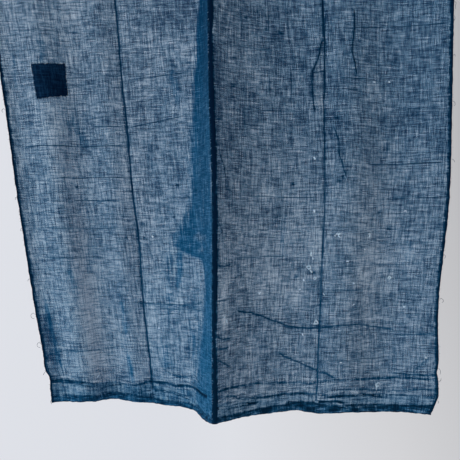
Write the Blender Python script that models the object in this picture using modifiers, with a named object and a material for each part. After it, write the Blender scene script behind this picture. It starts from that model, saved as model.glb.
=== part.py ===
"""Boro patched cloth, hanging.

Two loom widths of sheer indigo cloth hang from their top edge. The right width is lapped over
the left one and sewn down along the middle, where the cloth folds forward into a ridge. The left
flank of the ridge is steep and the right one is slack. Spare cloth beside the storage creases
falls in soft flutes that deepen towards the hem. One dark square patch is sewn on the left width.

Sizes are in metres. X runs across the cloth, its front faces -Y, and its top edge is at Z = 0.
The origin is the top end of the middle seam.
"""

import math

import bmesh
import bpy
import numpy as np

MM = 0.001

# Flat sizes, as the cloth was cut. The underlap is how far the left width reaches under the lap
LEFT_WIDTH = 0.344
RIGHT_WIDTH = 0.350
SEAM_TO_CREASE = 0.175
SEAM_LAP = 0.006
SEAM_UNDERLAP = 0.0045
HEM_HEIGHT = 0.024

# The solid sheet is thicker than the yarn, and twice as thick again at the folded hem
SHEET_THICK = 0.0012
HEM_THICK = 0.0024
PATCH_THICK = 0.0010
PIECE_GAP = 0.0003
# The patch bridges the edges between the sheet's flat cells, so it stands off a little further
FACET_ROOM = 0.0003

# Where the five upright lines of the cloth hang, in millimetres from the top end of the middle
# seam, at each drop below the top edge
SECTION_COLUMNS = (
    "drop",
    "left_edge_x", "left_edge_y",
    "left_crease_x", "left_crease_y",
    "seam_x", "seam_y",
    "right_crease_x", "right_crease_y",
    "right_edge_x", "right_edge_y",
)
SECTIONS = (
    (0, -325, 44, -158, 45, 0, 0, 156, 40, 328, 40),
    (264, -288, 58, -124, 60, 3, -32, 146, 38, 318, 40),
    (394, -269, 62, -114, 65, 5, -38, 150, 36, 316, 42),
    (524, -252, 68, -102, 72, 9, -42, 151, 34, 313, 44),
    (654, -232, 76, -88, 80, 9, -44, 144, 32, 301, 46),
    (784, -210, 80, -75, 85, 9, -45, 139, 30, 297, 48),
    (810, -207, 80, -73, 85, 9, -45, 138, 30, 294, 48),
)

# How the spare cloth is taken up at each drop: shoulder is the share of the left inner half that
# lies before the steep flank, and gather is the share of the width drawn into the hem's puckers
TAKE_UP_COLUMNS = ("drop", "shoulder", "gather")
TAKE_UP = (
    (0, 0.70, 0.0),
    (394, 0.66, 0.0),
    (524, 0.52, 0.0),
    (654, 0.55, 0.01),
    (784, 0.38, 0.05),
    (810, 0.38, 0.06),
)

# Length of the cloth in millimetres, by the share of each width from its left side to its right
LENGTH_COLUMNS = ("share", "length")
LEFT_LENGTH = (
    (0.0, 793),
    (0.15, 791),
    (0.35, 789),
    (0.55, 793),
    (0.75, 796),
    (0.88, 801),
    (1.0, 800),
)
RIGHT_LENGTH = (
    (0.0, 800),
    (0.2, 798),
    (0.42, 795),
    (0.55, 799),
    (0.8, 799),
    (1.0, 802),
)

# Soft flutes of the outer halves: the share of the half where a forward crest stands, and the
# share that one whole flute takes
LEFT_FLUTE_CREST = 0.35
LEFT_FLUTE_PITCH = 0.54
LEFT_FLUTE_END = 0.80
RIGHT_FLUTE_CREST = 0.15
RIGHT_FLUTE_PITCH = 0.85
SHOULDER_SOFTNESS = 0.22
CREASE_TURN_PLACE = 0.90
CREASE_TURN_WIDTH = 0.09
CREASE_TURN_DEPTH = 0.5

# Cells of the grids
HALF_CELLS = 14
BODY_ROWS = 30
HEM_STEP = 0.0015
HEM_ROWS = 2
PATCH_ROWS = 5
PATCH_SIDE_ROOM = 0.003
PATCH_CELL_REACH = 0.006
ARC_SAMPLES = 96
SOLVER_STEPS = 30
LARGEST_SWING = 1.5

# Corners of the patch on the left width: distance in from the left edge, and drop
PATCH_TOP_LEFT = (0.0468, 0.3454)
PATCH_TOP_RIGHT = (0.0928, 0.3428)
PATCH_BOTTOM_LEFT = (0.0490, 0.3908)
PATCH_BOTTOM_RIGHT = (0.0922, 0.3848)

CLOTH_BLUE = (0.085, 0.150, 0.220, 1.0)
CLOTH_BLUE_RIGHT = (0.065, 0.115, 0.165, 1.0)
PATCH_NAVY = (0.004, 0.011, 0.030, 1.0)
CLOTH_ROUGHNESS = 0.9


def smooth_table(rows, columns, name, at):
    """A column of a table as a smooth curve through its rows, read at one place or an array."""
    place = np.array([row[0] for row in rows], dtype=float)
    value = np.array([row[columns.index(name)] for row in rows], dtype=float)
    slope = np.gradient(value, place)
    at = np.clip(np.asarray(at, dtype=float), place[0], place[-1])
    i = np.clip(np.searchsorted(place, at, side="right") - 1, 0, len(place) - 2)
    step = place[i + 1] - place[i]
    t = (at - place[i]) / step
    rise = value[i + 1] - value[i]
    return (
        value[i] + rise * t * t * (3 - 2 * t)
        + step * t * (1 - t) * (slope[i] * (1 - t) - slope[i + 1] * t)
    )


def line_at(name, drop):
    """X and Y in metres of one upright line of the cloth at a drop in metres."""
    drop_mm = drop / MM
    x = smooth_table(SECTIONS, SECTION_COLUMNS, name + "_x", drop_mm)
    y = smooth_table(SECTIONS, SECTION_COLUMNS, name + "_y", drop_mm)
    return np.array([float(x) * MM, float(y) * MM])


def take_up(name, drop):
    return float(smooth_table(TAKE_UP, TAKE_UP_COLUMNS, name, drop / MM))


def sheet_thickness(above_hem_foot):
    """Thickness of the solid at a distance above the foot of the cloth."""
    return HEM_THICK if above_hem_foot < HEM_HEIGHT else SHEET_THICK


def soft_step(t, start, end):
    """0 before start and 1 after end, with a smooth rise between."""
    ramp = np.clip((t - start) / (end - start), 0, 1)
    return ramp * ramp * (3 - 2 * ramp)


def left_outer_swing(t):
    flute = np.sin(2 * math.pi * (t - LEFT_FLUTE_CREST) / LEFT_FLUTE_PITCH)
    return flute * (1 - soft_step(t, LEFT_FLUTE_END, 1.0))


def left_inner_swing(t, shoulder):
    half = SHOULDER_SOFTNESS / 2
    return 1 - 2 * soft_step(t, shoulder - half, shoulder + half)


def right_inner_swing(t):
    turn = np.exp(-((t - CREASE_TURN_PLACE) / CREASE_TURN_WIDTH) ** 2)
    return np.cos(math.pi * t) - CREASE_TURN_DEPTH * turn


def right_outer_swing(t):
    return np.sin(2 * math.pi * (t - RIGHT_FLUTE_CREST) / RIGHT_FLUTE_PITCH)


def hang_between(start, end, arc, swing, shares):
    """Points of a strip of cloth of one arc length between two points of a level section.

    The strip's direction follows the swing pattern, and the size of the swing is found so that
    the spare length is taken up exactly.
    """
    t = (np.arange(ARC_SAMPLES) + 0.5) / ARC_SAMPLES
    pattern = swing(t)
    chord = end - start
    wanted = min(math.hypot(*chord) / arc, 0.9995)
    low = 0.0
    high = LARGEST_SWING
    for _ in range(SOLVER_STEPS):
        size = (low + high) / 2
        reach = math.hypot(np.cos(size * pattern).mean(), np.sin(size * pattern).mean())
        if reach > wanted:
            low = size
        else:
            high = size
    along = np.concatenate(([0.0], np.cumsum(np.cos(size * pattern)) / ARC_SAMPLES))
    aside = np.concatenate(([0.0], np.cumsum(np.sin(size * pattern)) / ARC_SAMPLES))
    turn = math.atan2(chord[1], chord[0]) - math.atan2(aside[-1], along[-1])
    stretch = math.hypot(*chord) / math.hypot(along[-1], aside[-1])
    marks = np.linspace(0.0, 1.0, ARC_SAMPLES + 1)
    a = np.interp(shares, marks, along) * stretch
    b = np.interp(shares, marks, aside) * stretch
    x = start[0] + a * math.cos(turn) - b * math.sin(turn)
    y = start[1] + a * math.sin(turn) + b * math.cos(turn)
    return np.column_stack((x, y))


def piecewise(flat, spans):
    """Points at the flat distances, from spans of (flat start, flat end, points function)."""
    points = np.zeros((len(flat), 2))
    for first, last, place in spans:
        inside = (flat >= first - 1e-9) & (flat <= last + 1e-9)
        points[inside] = place((flat[inside] - first) / (last - first))
    return points


def straight(start, end):
    return lambda shares: start + np.outer(shares, end - start)


def left_section(flat, drop, above_foot):
    """Level section of the left width: X and Y at flat distances from its outer edge."""
    edge = line_at("left_edge", drop)
    crease = line_at("left_crease", drop)
    seam = line_at("seam", drop)
    used = 1.0 - take_up("gather", drop)
    shoulder = take_up("shoulder", drop)
    behind = sheet_thickness(above_foot) + PIECE_GAP
    corner = seam + np.array([-SEAM_LAP / 2, behind])
    under_end = corner + np.array([SEAM_UNDERLAP, 0.0])
    crease_flat = LEFT_WIDTH - SEAM_TO_CREASE
    corner_flat = LEFT_WIDTH - SEAM_UNDERLAP
    inner_arc = (corner_flat - crease_flat) * used

    def outer(shares):
        return hang_between(edge, crease, crease_flat * used, left_outer_swing, shares)

    def inner(shares):
        swing = lambda t: left_inner_swing(t, shoulder)
        return hang_between(crease, corner, inner_arc, swing, shares)

    spans = (
        (0.0, crease_flat, outer),
        (crease_flat, corner_flat, inner),
        (corner_flat, LEFT_WIDTH, straight(corner, under_end)),
    )
    return piecewise(flat, spans)


def right_section(flat, drop, above_foot):
    """Level section of the right width: X and Y at flat distances from the seam's free edge."""
    seam = line_at("seam", drop)
    crease = line_at("right_crease", drop)
    edge = line_at("right_edge", drop)
    used = 1.0 - take_up("gather", drop)
    free_edge = seam + np.array([-SEAM_LAP / 2, 0.0])
    corner = seam + np.array([SEAM_LAP / 2, 0.0])
    inner_arc = (SEAM_TO_CREASE - SEAM_LAP) * used
    outer_arc = (RIGHT_WIDTH - SEAM_TO_CREASE) * used

    def inner(shares):
        return hang_between(corner, crease, inner_arc, right_inner_swing, shares)

    def outer(shares):
        return hang_between(crease, edge, outer_arc, right_outer_swing, shares)

    spans = (
        (0.0, SEAM_LAP, straight(free_edge, corner)),
        (SEAM_LAP, SEAM_TO_CREASE, inner),
        (SEAM_TO_CREASE, RIGHT_WIDTH, outer),
    )
    return piecewise(flat, spans)


def row_shares():
    """Rows of the grid as (share of the length above the hem, height left above the foot)."""
    rows = [(i / BODY_ROWS, HEM_HEIGHT + HEM_STEP) for i in range(BODY_ROWS + 1)]
    hem_top = HEM_HEIGHT - HEM_STEP
    rows += [(1.0, hem_top * (1 - i / HEM_ROWS)) for i in range(HEM_ROWS + 1)]
    return rows


def cloth_material(name, colour):
    material = bpy.data.materials.new(name)
    material.use_nodes = True
    shader = material.node_tree.nodes["Principled BSDF"]
    shader.inputs["Base Color"].default_value = colour
    shader.inputs["Roughness"].default_value = CLOTH_ROUGHNESS
    shader.inputs["Metallic"].default_value = 0.0
    material.diffuse_color = colour
    return material


def grid_object(name, columns, rows, place, collection, material):
    """A grid of columns by rows cells, each vertex put where place(column, row) says."""
    mesh = bpy.data.meshes.new(name)
    shape = bmesh.new()
    bmesh.ops.create_grid(shape, x_segments=columns, y_segments=rows, size=0.5)
    hem_layer = shape.verts.layers.deform.verify()
    for vertex in shape.verts:
        column = round((vertex.co.x + 0.5) * columns)
        row = round((0.5 - vertex.co.y) * rows)
        point, thick_share = place(column, row)
        vertex.co = point
        vertex[hem_layer][0] = thick_share
    bmesh.ops.recalc_face_normals(shape, faces=shape.faces)
    shape.to_mesh(mesh)
    shape.free()
    mesh.shade_smooth()
    mesh.materials.append(material)
    piece = bpy.data.objects.new(name, mesh)
    piece.vertex_groups.new(name="thickness")
    collection.objects.link(piece)
    return piece


def thicken(piece, thickness):
    solid = piece.modifiers.new("Thickness", "SOLIDIFY")
    solid.thickness = thickness
    solid.offset = 0.0
    solid.use_even_offset = True
    solid.use_rim = True
    solid.vertex_group = "thickness"


def hung_points(stations, section, lengths):
    """Middle surface of one loom width: a point for each row of the grid and each station."""
    rows = row_shares()
    length = smooth_table(lengths, LENGTH_COLUMNS, "length", stations / stations[-1]) * MM
    points = np.zeros((len(rows), len(stations), 3))
    for r, (share, above_foot) in enumerate(rows):
        for c in range(len(stations)):
            body = length[c] - HEM_HEIGHT - HEM_STEP
            drop = body * share if share < 1.0 else length[c] - above_foot
            x, y = section(stations[c:c + 1], drop, above_foot)[0]
            points[r, c] = (x, y, -drop)
    return points


def panel(name, points, collection, material):
    """One loom width as a solid sheet, thicker at its hem."""
    hem_first_row = BODY_ROWS + 1

    def place(column, row):
        thick_share = 1.0 if row >= hem_first_row else SHEET_THICK / HEM_THICK
        return points[row, column], thick_share

    piece = grid_object(name, points.shape[1] - 1, points.shape[0] - 1, place, collection, material)
    thicken(piece, HEM_THICK)
    return piece


def left_stations():
    crease = LEFT_WIDTH - SEAM_TO_CREASE
    corner = LEFT_WIDTH - SEAM_UNDERLAP
    outer = np.linspace(0.0, crease, HALF_CELLS + 1)
    inner = np.linspace(crease, corner, HALF_CELLS + 1)[1:]
    return np.concatenate((outer, inner, [LEFT_WIDTH]))


def right_stations():
    inner = np.linspace(SEAM_LAP, SEAM_TO_CREASE, HALF_CELLS + 1)
    outer = np.linspace(SEAM_TO_CREASE, RIGHT_WIDTH, HALF_CELLS + 1)[1:]
    return np.concatenate(([0.0], inner, outer))


def surface_point(points, stations, flat, drop):
    """Point of the hung sheet's own cells at a flat distance across and a drop."""
    c = min(int(np.searchsorted(stations, flat, side="right")) - 1, len(stations) - 2)
    share = (flat - stations[c]) / (stations[c + 1] - stations[c])
    sides = []
    for column in (c, c + 1):
        line = points[:, column]
        sides.append([np.interp(drop, -line[:, 2], line[:, axis]) for axis in (0, 1)])
    x, y = (1 - share) * np.array(sides[0]) + share * np.array(sides[1])
    return np.array([x, y, -drop])


def front_direction(points, stations, flat, drop):
    """Direction that the front of the hung sheet faces."""
    reach = PATCH_CELL_REACH
    across = (
        surface_point(points, stations, flat + reach, drop)
        - surface_point(points, stations, flat - reach, drop)
    )
    down = (
        surface_point(points, stations, flat, drop + reach)
        - surface_point(points, stations, flat, drop - reach)
    )
    front = np.cross(down, across)
    return front / np.linalg.norm(front)


def patch_columns(t, stations):
    """Flat distances of the patch's columns at a share t of its height.

    Between its two sides they are the sheet's own stations, so the patch bends where it does.
    """
    left = (1 - t) * PATCH_TOP_LEFT[0] + t * PATCH_BOTTOM_LEFT[0]
    right = (1 - t) * PATCH_TOP_RIGHT[0] + t * PATCH_BOTTOM_RIGHT[0]
    inner = [s for s in stations if left + PATCH_SIDE_ROOM < s < right - PATCH_SIDE_ROOM]
    return [left] + inner + [right]


def patch(points, stations, collection, material):
    """The square patch, flat against the front of the width whose points are given."""
    stand_off = (SHEET_THICK + PATCH_THICK) / 2 + PIECE_GAP + FACET_ROOM

    def place(column, row):
        t = row / PATCH_ROWS
        flats = patch_columns(t, stations)
        flat = flats[column]
        s = (flat - flats[0]) / (flats[-1] - flats[0])
        left_drop = (1 - t) * PATCH_TOP_LEFT[1] + t * PATCH_BOTTOM_LEFT[1]
        right_drop = (1 - t) * PATCH_TOP_RIGHT[1] + t * PATCH_BOTTOM_RIGHT[1]
        drop = (1 - s) * left_drop + s * right_drop
        front = front_direction(points, stations, flat, drop)
        return surface_point(points, stations, flat, drop) + stand_off * front, 1.0

    columns = len(patch_columns(0.0, stations)) - 1
    piece = grid_object("patch", columns, PATCH_ROWS, place, collection, material)
    thicken(piece, PATCH_THICK)
    return piece


def clear_scene():
    for item in list(bpy.data.objects):
        bpy.data.objects.remove(item, do_unlink=True)


def main():
    clear_scene()
    collection = bpy.data.collections.new("boro_patched_cloth")
    bpy.context.scene.collection.children.link(collection)
    left_blue = cloth_material("indigo_cloth_left", CLOTH_BLUE)
    right_blue = cloth_material("indigo_cloth_right", CLOTH_BLUE_RIGHT)
    navy = cloth_material("navy_patch", PATCH_NAVY)
    left_points = hung_points(left_stations(), left_section, LEFT_LENGTH)
    right_points = hung_points(right_stations(), right_section, RIGHT_LENGTH)
    panel("panel_left", left_points, collection, left_blue)
    panel("panel_right", right_points, collection, right_blue)
    patch(left_points, left_stations(), collection, navy)


main()
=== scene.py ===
"""Looks of the hanging boro patched cloth.

Each loom width is a thin sheet on the folds of its CAD solid, with its creases, puckers and
turned-up hem. The yarns are worked out in the material from the cloth's flat sizes. Sewing
thread, loose yarn ends and lint are small joined meshes that lie on the sheets.

Sizes are in metres unless a name or a comment says millimetres. X runs across the cloth, its
front faces -Y, and its top edge is at Z = 0. A flat place on a width is the distance from its
left side and the drop from its top edge.
"""

import math
import random
from collections import namedtuple

import bpy
import numpy as np
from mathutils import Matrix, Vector, noise


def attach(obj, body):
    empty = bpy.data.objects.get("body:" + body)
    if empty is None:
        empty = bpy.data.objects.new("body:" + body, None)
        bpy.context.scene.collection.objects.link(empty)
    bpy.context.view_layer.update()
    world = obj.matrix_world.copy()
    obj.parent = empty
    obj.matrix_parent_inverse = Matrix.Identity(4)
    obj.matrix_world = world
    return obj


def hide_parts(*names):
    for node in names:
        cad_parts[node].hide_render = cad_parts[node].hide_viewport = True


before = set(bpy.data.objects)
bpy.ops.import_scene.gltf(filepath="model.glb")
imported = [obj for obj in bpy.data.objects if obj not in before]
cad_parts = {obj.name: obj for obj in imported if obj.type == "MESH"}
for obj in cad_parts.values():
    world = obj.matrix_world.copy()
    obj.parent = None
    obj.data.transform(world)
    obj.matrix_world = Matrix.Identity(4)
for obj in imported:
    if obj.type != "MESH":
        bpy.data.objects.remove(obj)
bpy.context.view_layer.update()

MM = 0.001

# Flat sizes of the cloth, as in the CAD part
LEFT_WIDTH = 0.344
RIGHT_WIDTH = 0.350
SEAM_TO_CREASE = 0.175
SEAM_LAP = 0.006
SEAM_UNDERLAP = 0.0045
HEM_HEIGHT = 0.024
CLOTH_LENGTH = 0.800

# Where the five upright lines of the cloth hang, in millimetres, at each drop
SECTION_COLUMNS = (
    "drop",
    "left_edge_x", "left_edge_y",
    "left_crease_x", "left_crease_y",
    "seam_x", "seam_y",
    "right_crease_x", "right_crease_y",
    "right_edge_x", "right_edge_y",
)
SECTIONS = (
    (0, -325, 44, -158, 45, 0, 0, 156, 40, 328, 40),
    (264, -288, 58, -124, 60, 3, -32, 146, 38, 318, 40),
    (394, -269, 62, -114, 65, 5, -38, 150, 36, 316, 42),
    (524, -252, 68, -102, 72, 9, -42, 151, 34, 313, 44),
    (654, -232, 76, -88, 80, 9, -44, 144, 32, 301, 46),
    (784, -210, 80, -75, 85, 9, -45, 139, 30, 297, 48),
    (810, -207, 80, -73, 85, 9, -45, 138, 30, 294, 48),
)
TAKE_UP_COLUMNS = ("drop", "shoulder", "gather")
TAKE_UP = (
    (0, 0.70, 0.0),
    (394, 0.66, 0.0),
    (524, 0.52, 0.0),
    (654, 0.55, 0.01),
    (784, 0.38, 0.05),
    (810, 0.38, 0.06),
)
LENGTH_COLUMNS = ("share", "length")
LEFT_LENGTH = (
    (0.0, 794.3),
    (0.10, 792.7),
    (0.17, 791.2),
    (0.24, 791.8),
    (0.33, 791.8),
    (0.37, 792.6),
    (0.45, 794.2),
    (0.55, 796.6),
    (0.63, 797.2),
    (0.70, 799.0),
    (0.76, 801.0),
    (0.83, 803.0),
    (0.92, 802.0),
    (1.0, 800.4),
)
RIGHT_LENGTH = (
    (0.0, 800.0),
    (0.14, 800.3),
    (0.23, 799.8),
    (0.29, 799.3),
    (0.38, 797.4),
    (0.425, 796.2),
    (0.455, 797.4),
    (0.49, 799.6),
    (0.56, 799.4),
    (0.63, 799.4),
    (0.70, 801.2),
    (0.78, 802.6),
    (0.86, 802.3),
    (0.95, 803.4),
    (1.0, 805.4),
)
LEFT_FLUTE_CREST = 0.35
LEFT_FLUTE_PITCH = 0.54
LEFT_FLUTE_END = 0.80
RIGHT_FLUTE_CREST = 0.15
RIGHT_FLUTE_PITCH = 0.85
SHOULDER_SOFTNESS = 0.22
CREASE_TURN_PLACE = 0.90
CREASE_TURN_WIDTH = 0.09
CREASE_TURN_DEPTH = 0.5
ARC_SAMPLES = 96
SOLVER_STEPS = 30
LARGEST_SWING = 1.5
PATCH_TOP_LEFT = (0.0468, 0.3454)
PATCH_TOP_RIGHT = (0.0928, 0.3428)
PATCH_BOTTOM_LEFT = (0.0490, 0.3908)
PATCH_BOTTOM_RIGHT = (0.0922, 0.3848)

# How far behind the lap the left width's tucked-in strip lies, plain and at the hem
TUCK_BEHIND = 0.0015
TUCK_BEHIND_HEM = 0.0027
SECTION_STEP = 0.005
LOWEST_LEVEL = 0.810
HEM_THICKENS = (0.770, 0.785)
LONGEST_CHORD = 0.9995
SAME_PLACE = 1e-9

# What the cloth's material reads from the sheets, each 0 to 1
# Of these, shade and pale hold painted shade and painted light as well as the cloth's own tone; dark and
# line hold painted shade in the creases as well as dense cloth; blue holds painted light on the steep flank
# beside the seam.
MARKS = ("dark", "shade", "blue", "pale", "grey", "line", "line_side")

# Cells of the sheets: fine where the photograph shows the cloth, coarser above that
PLAIN_CELL = 0.0018
COARSE_ROW = 0.005
FINE_ROWS_FROM = 0.24
HEM_ROWS_FROM = 0.75
HEM_CELL = 0.0011
LEFT_FINE_COLUMNS = ((0.160, 0.178, 0.0010), (0.228, 0.300, 0.0015))
RIGHT_FINE_COLUMNS = ((0.155, 0.222, 0.0011),)

# The turned-up hem behind the front, and the small waves of the foot: height, width and seed
TURN_UP_ROWS = 10
FOLD_BEHIND = 0.0006
TURN_UP_BEHIND = 0.0010
FOOT_WAVES = ((0.0005, 0.011, 3.5), (0.0005, 0.0052, 4.5))
FOOT_SHIFT_FROM = 0.70

# Thin lines are kept as a distance in millimetres, up to this reach, so that they stay crisp
LINE_REACH = 4.0
LINE_HALF = 0.6
LINE_BORDER = (LINE_HALF - 0.2, LINE_HALF + 0.25)
LINE_FADE = (2.2, 3.6)
LINE_MARGIN = 0.3
SOFT_MARK_REACH = 3.0
MARK_END_SHARE = 0.15
BAR_END_SHARE = 0.1

# Creases waver by this much, in millimetres, and fade out at their ends
CREASE_WANDER = 0.5
CREASE_REACH = 10.0
CREASE_END = 4.0
CREASE_BEND = 1.25
CREASE_LINE = 0.52
# A soft painted shade beside each crease line: its width as a share of the crease's half width, and its
# strength
CREASE_SHADE = 1.1
CREASE_SHADE_STRENGTH = 0.40
SOFT_CREASE_LINE = 0.95
SOFT_CREASES_FROM = 745

# Relief of the sheets: height in millimetres, the width and drop of one feature, and its seed
HANDLED = ((1.0, 0.055, 0.085, 20), (0.35, 0.016, 0.022, 21), (0.10, 0.006, 0.007, 22))
PUCKERS = ((0.9, 0.0075, 0.020, 23), (0.75, 0.020, 0.0055, 24))
PLEATS = ((1.0, 0.0026, 0.016, 33), (0.5, 0.006, 0.020, 34))
RUCKS = ((1.0, 0.022, 0.0026, 36),)
LAP_RAGGED = ((1.7, 0.004, 0.005, 12), (1.0, 0.02, 0.028, 13))
PLEAT_HEIGHT = 0.0004

# Where the hem's relief starts and is full, in metres above the foot
PUCKERS_FROM = (0.045, 0.018)
PLEATS_FROM = (0.026, 0.022)
RUCKS_FROM = (0.046, 0.036)

# How high the rolled foot stands above its edge, at flat distances, in millimetres
ROLL_COLUMNS = ("flat", "height")
LEFT_ROLL = (
    (0, 8.0), (40, 8.5), (90, 7.5), (120, 8.5), (150, 9.0), (172, 6.0),
    (200, 6.0), (240, 7.0), (262, 8.5), (285, 9.0), (310, 8.0), (344, 7.0),
)
RIGHT_ROLL = (
    (0, 7.4), (20, 6.4), (40, 5.6), (65, 6.0), (96, 6.2), (117, 7.2), (135, 8.3), (150, 9.8),
    (170, 12.2), (190, 11.0), (215, 7.2), (250, 6.1), (272, 7.4), (302, 8.8), (326, 10.0), (350, 11.2),
)

ROLL_OUT = 1.1 * MM
# Half width in millimetres of the painted shadow line along the top of the roll
ROLL_LINE_HALF = 1.7

# Borders of the dark selvedges and top edge, in millimetres from the edge
SELVEDGE_BORDER = (2.8, 6.4)
TOP_EDGE_BORDER = (2.0, 5.0)

# How far the outer edges stand out at each drop, in millimetres: close to the edge, and the
# whole of the cloth beside it
EDGE_COLUMNS = ("drop", "out")
LEFT_EDGE_OUT = (
    (0, 0.0), (690, 0.0), (735, 1.0), (748, 2.0), (753, 1.2), (757, -1.2),
    (776, -0.6), (788, 0.4), (800, 0.6), (810, 0.6),
)
RIGHT_EDGE_OUT = (
    (0, 0.0), (700, 0.0), (742, 0.8), (750, -0.4), (758, 1.4), (772, 2.8), (782, 3.2),
    (788, 1.6), (795, -0.8), (803, -3.8), (810, -4.6),
)
LEFT_EDGE_SHIFT = (
    (0, 0.0), (200, 2.4), (300, 2.9), (700, 2.9), (760, 2.2), (800, 0.8), (810, 0.4),
)
RIGHT_EDGE_SHIFT = (
    (0, 0.0), (200, 2.2), (300, 2.8), (540, 2.8), (600, 1.8), (680, 0.3), (810, 0.0),
)
EDGE_OUT_WIDTH = 0.013
EDGE_SHIFT_WIDTH = 0.045
EDGE_WAVE_WIDTH = 0.006
EDGE_WAVES = ((0.0007, 0.012, 40), (0.00040, 0.0045, 41))

# Creases and pulls, in millimetres: depth (below 0 stands forward), half width, how dark the
# line is (denser folded cloth with painted shade in the crease), and points as (distance from
# the left side, drop)
RIGHT_CREASES = (
    (1.3, 2.3, 1.00, ((175.6, 180), (176.8, 264), (177.6, 300), (178.3, 318), (178.0, 326))),
    (1.3, 1.7, 0.95, ((178.3, 318), (177.4, 345), (175.8, 372), (174.6, 396))),
    (1.0, 1.6, 0.72, ((174.6, 394), (174.4, 440), (174.4, 478))),
    (0.8, 1.9, 0.48, ((174.4, 476), (174.2, 510), (175, 536), (174.4, 562))),
    (1.0, 1.8, 0.80, ((174.4, 558), (174.6, 580), (174.8, 602))),
    (0.8, 1.9, 0.50, ((174.8, 600), (175.4, 640), (176, 655))),
    (1.2, 1.8, 0.60, ((176, 650), (175.6, 700), (175.8, 750), (175, 790))),
    (0.8, 1.5, 0.40, ((175, 0), (175.6, 120), (176, 230))),
    (-1.5, 1.5, 1.00, ((176.5, 316), (173.4, 322), (171.4, 332), (168.7, 342), (160.6, 357), (160.0, 372))),
    (-1.3, 1.4, 1.00, ((160.0, 370), (160.2, 384), (161.0, 398), (163.2, 410))),
    (-1.4, 1.5, 1.00, ((217.8, 276), (218.0, 298), (215.2, 316), (212.8, 331), (217.3, 346), (218.6, 362))),
    (-1.1, 1.5, 0.60, ((187.3, 430), (193.3, 448), (193.3, 464), (199.3, 486), (203.3, 496))),
    (0.5, 1.0, 0.75, ((159.5, 358), (168, 358), (176.5, 357.5))),
    (-0.8, 1.3, 0.65, ((7, 606), (23, 608), (37, 606))),
    (-0.9, 1.4, 0.75, ((5, 694), (22, 698), (40, 698))),
    (-0.8, 1.3, 0.60, ((9, 709), (25, 710), (37, 708))),
    (-0.8, 1.3, 0.60, ((7, 722), (24, 728), (39, 734))),
    (-0.7, 1.2, 0.60, ((7, 650), (31, 650))),
    (-0.7, 1.2, 0.55, ((9, 426), (21, 426))),
    (-0.9, 1.2, 0.65, ((7, 552), (12.5, 558), (16.5, 565), (8, 572))),
    (-0.8, 1.3, 0.70, ((14, 470), (20.5, 482), (25.5, 498), (26.5, 504))),
    (-0.6, 1.2, 0.60, ((25.5, 512), (33.5, 514), (40, 516))),
    (1.6, 1.6, 0.80, ((56, 664), (60, 666), (78, 668), (99, 674), (108, 678), (120, 682))),
    (1.5, 1.6, 0.75, ((118, 681), (136, 688), (156, 690), (176, 690), (198, 686))),
    (1.0, 1.5, 0.55, ((196, 686), (236, 686), (274, 692), (290, 694))),
    (0.9, 1.5, 0.45, ((297, 702), (347, 698))),
    (1.3, 1.5, 0.70, ((122, 721), (133, 728), (149, 734), (169, 742), (178, 746))),
    (1.1, 1.5, 0.60, ((176, 745), (188, 748), (200, 755))),
    (1.2, 1.6, 0.62, ((230, 757), (246, 758), (275, 758), (300, 757), (325, 758), (348, 759))),
    (0.9, 1.4, 0.45, ((314, 752), (326, 740), (338, 730))),
    (1.4, 1.6, 0.80, ((2, 761), (14, 761), (37, 760), (62, 760))),
    (1.2, 1.5, 0.44, ((60, 760), (90, 759), (117, 760), (144, 760), (166, 761), (186, 758))),
    (1.1, 1.5, 0.44, ((184, 757), (205, 757), (216, 756), (232, 757))),
    (1.2, 1.4, 0.55, ((20, 770), (38, 770), (56, 773))),
    (1.4, 1.7, 0.90, ((54, 775), (74, 777), (90, 778), (104, 778), (118, 776), (142, 775), (166, 774))),
    (1.2, 1.6, 0.65, ((164, 774), (178, 775), (192, 777))),
    (1.4, 1.8, 1.00, ((188, 779), (204, 778), (220, 778), (246, 778), (264, 780), (280, 784))),
    (1.0, 1.6, 0.40, ((266, 779), (300, 780), (350, 783))),
    (1.0, 1.4, 0.44, ((204, 770), (232, 770), (262, 773), (288, 774), (314, 772), (343, 772))),
    (1.4, 1.8, 1.00, ((134, 786), (150, 786), (168, 786), (184, 785), (204, 784), (216, 787))),
    (1.4, 2.0, 1.60, ((2, 780), (14, 782), (36, 784), (56, 784), (74, 784), (92, 784))),
    (1.2, 1.7, 0.95, ((84, 793), (104, 792), (118, 790), (132, 790), (146, 788))),
    (1.2, 1.7, 1.00, ((214, 790), (248, 792), (278, 793), (302, 794), (341, 794))),
    (0.8, 3.2, 0.85, ((0, 797), (9, 797), (18, 797))),
    (1.2, 1.5, 0.80, ((288, 752), (310, 753), (348, 753))),
    (-1.0, 1.5, 0.20, ((128, 783), (140, 779), (152, 779), (160, 782))),
    (-1.0, 1.6, 0.20, ((76, 783), (84, 781), (96, 782))),
)
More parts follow.
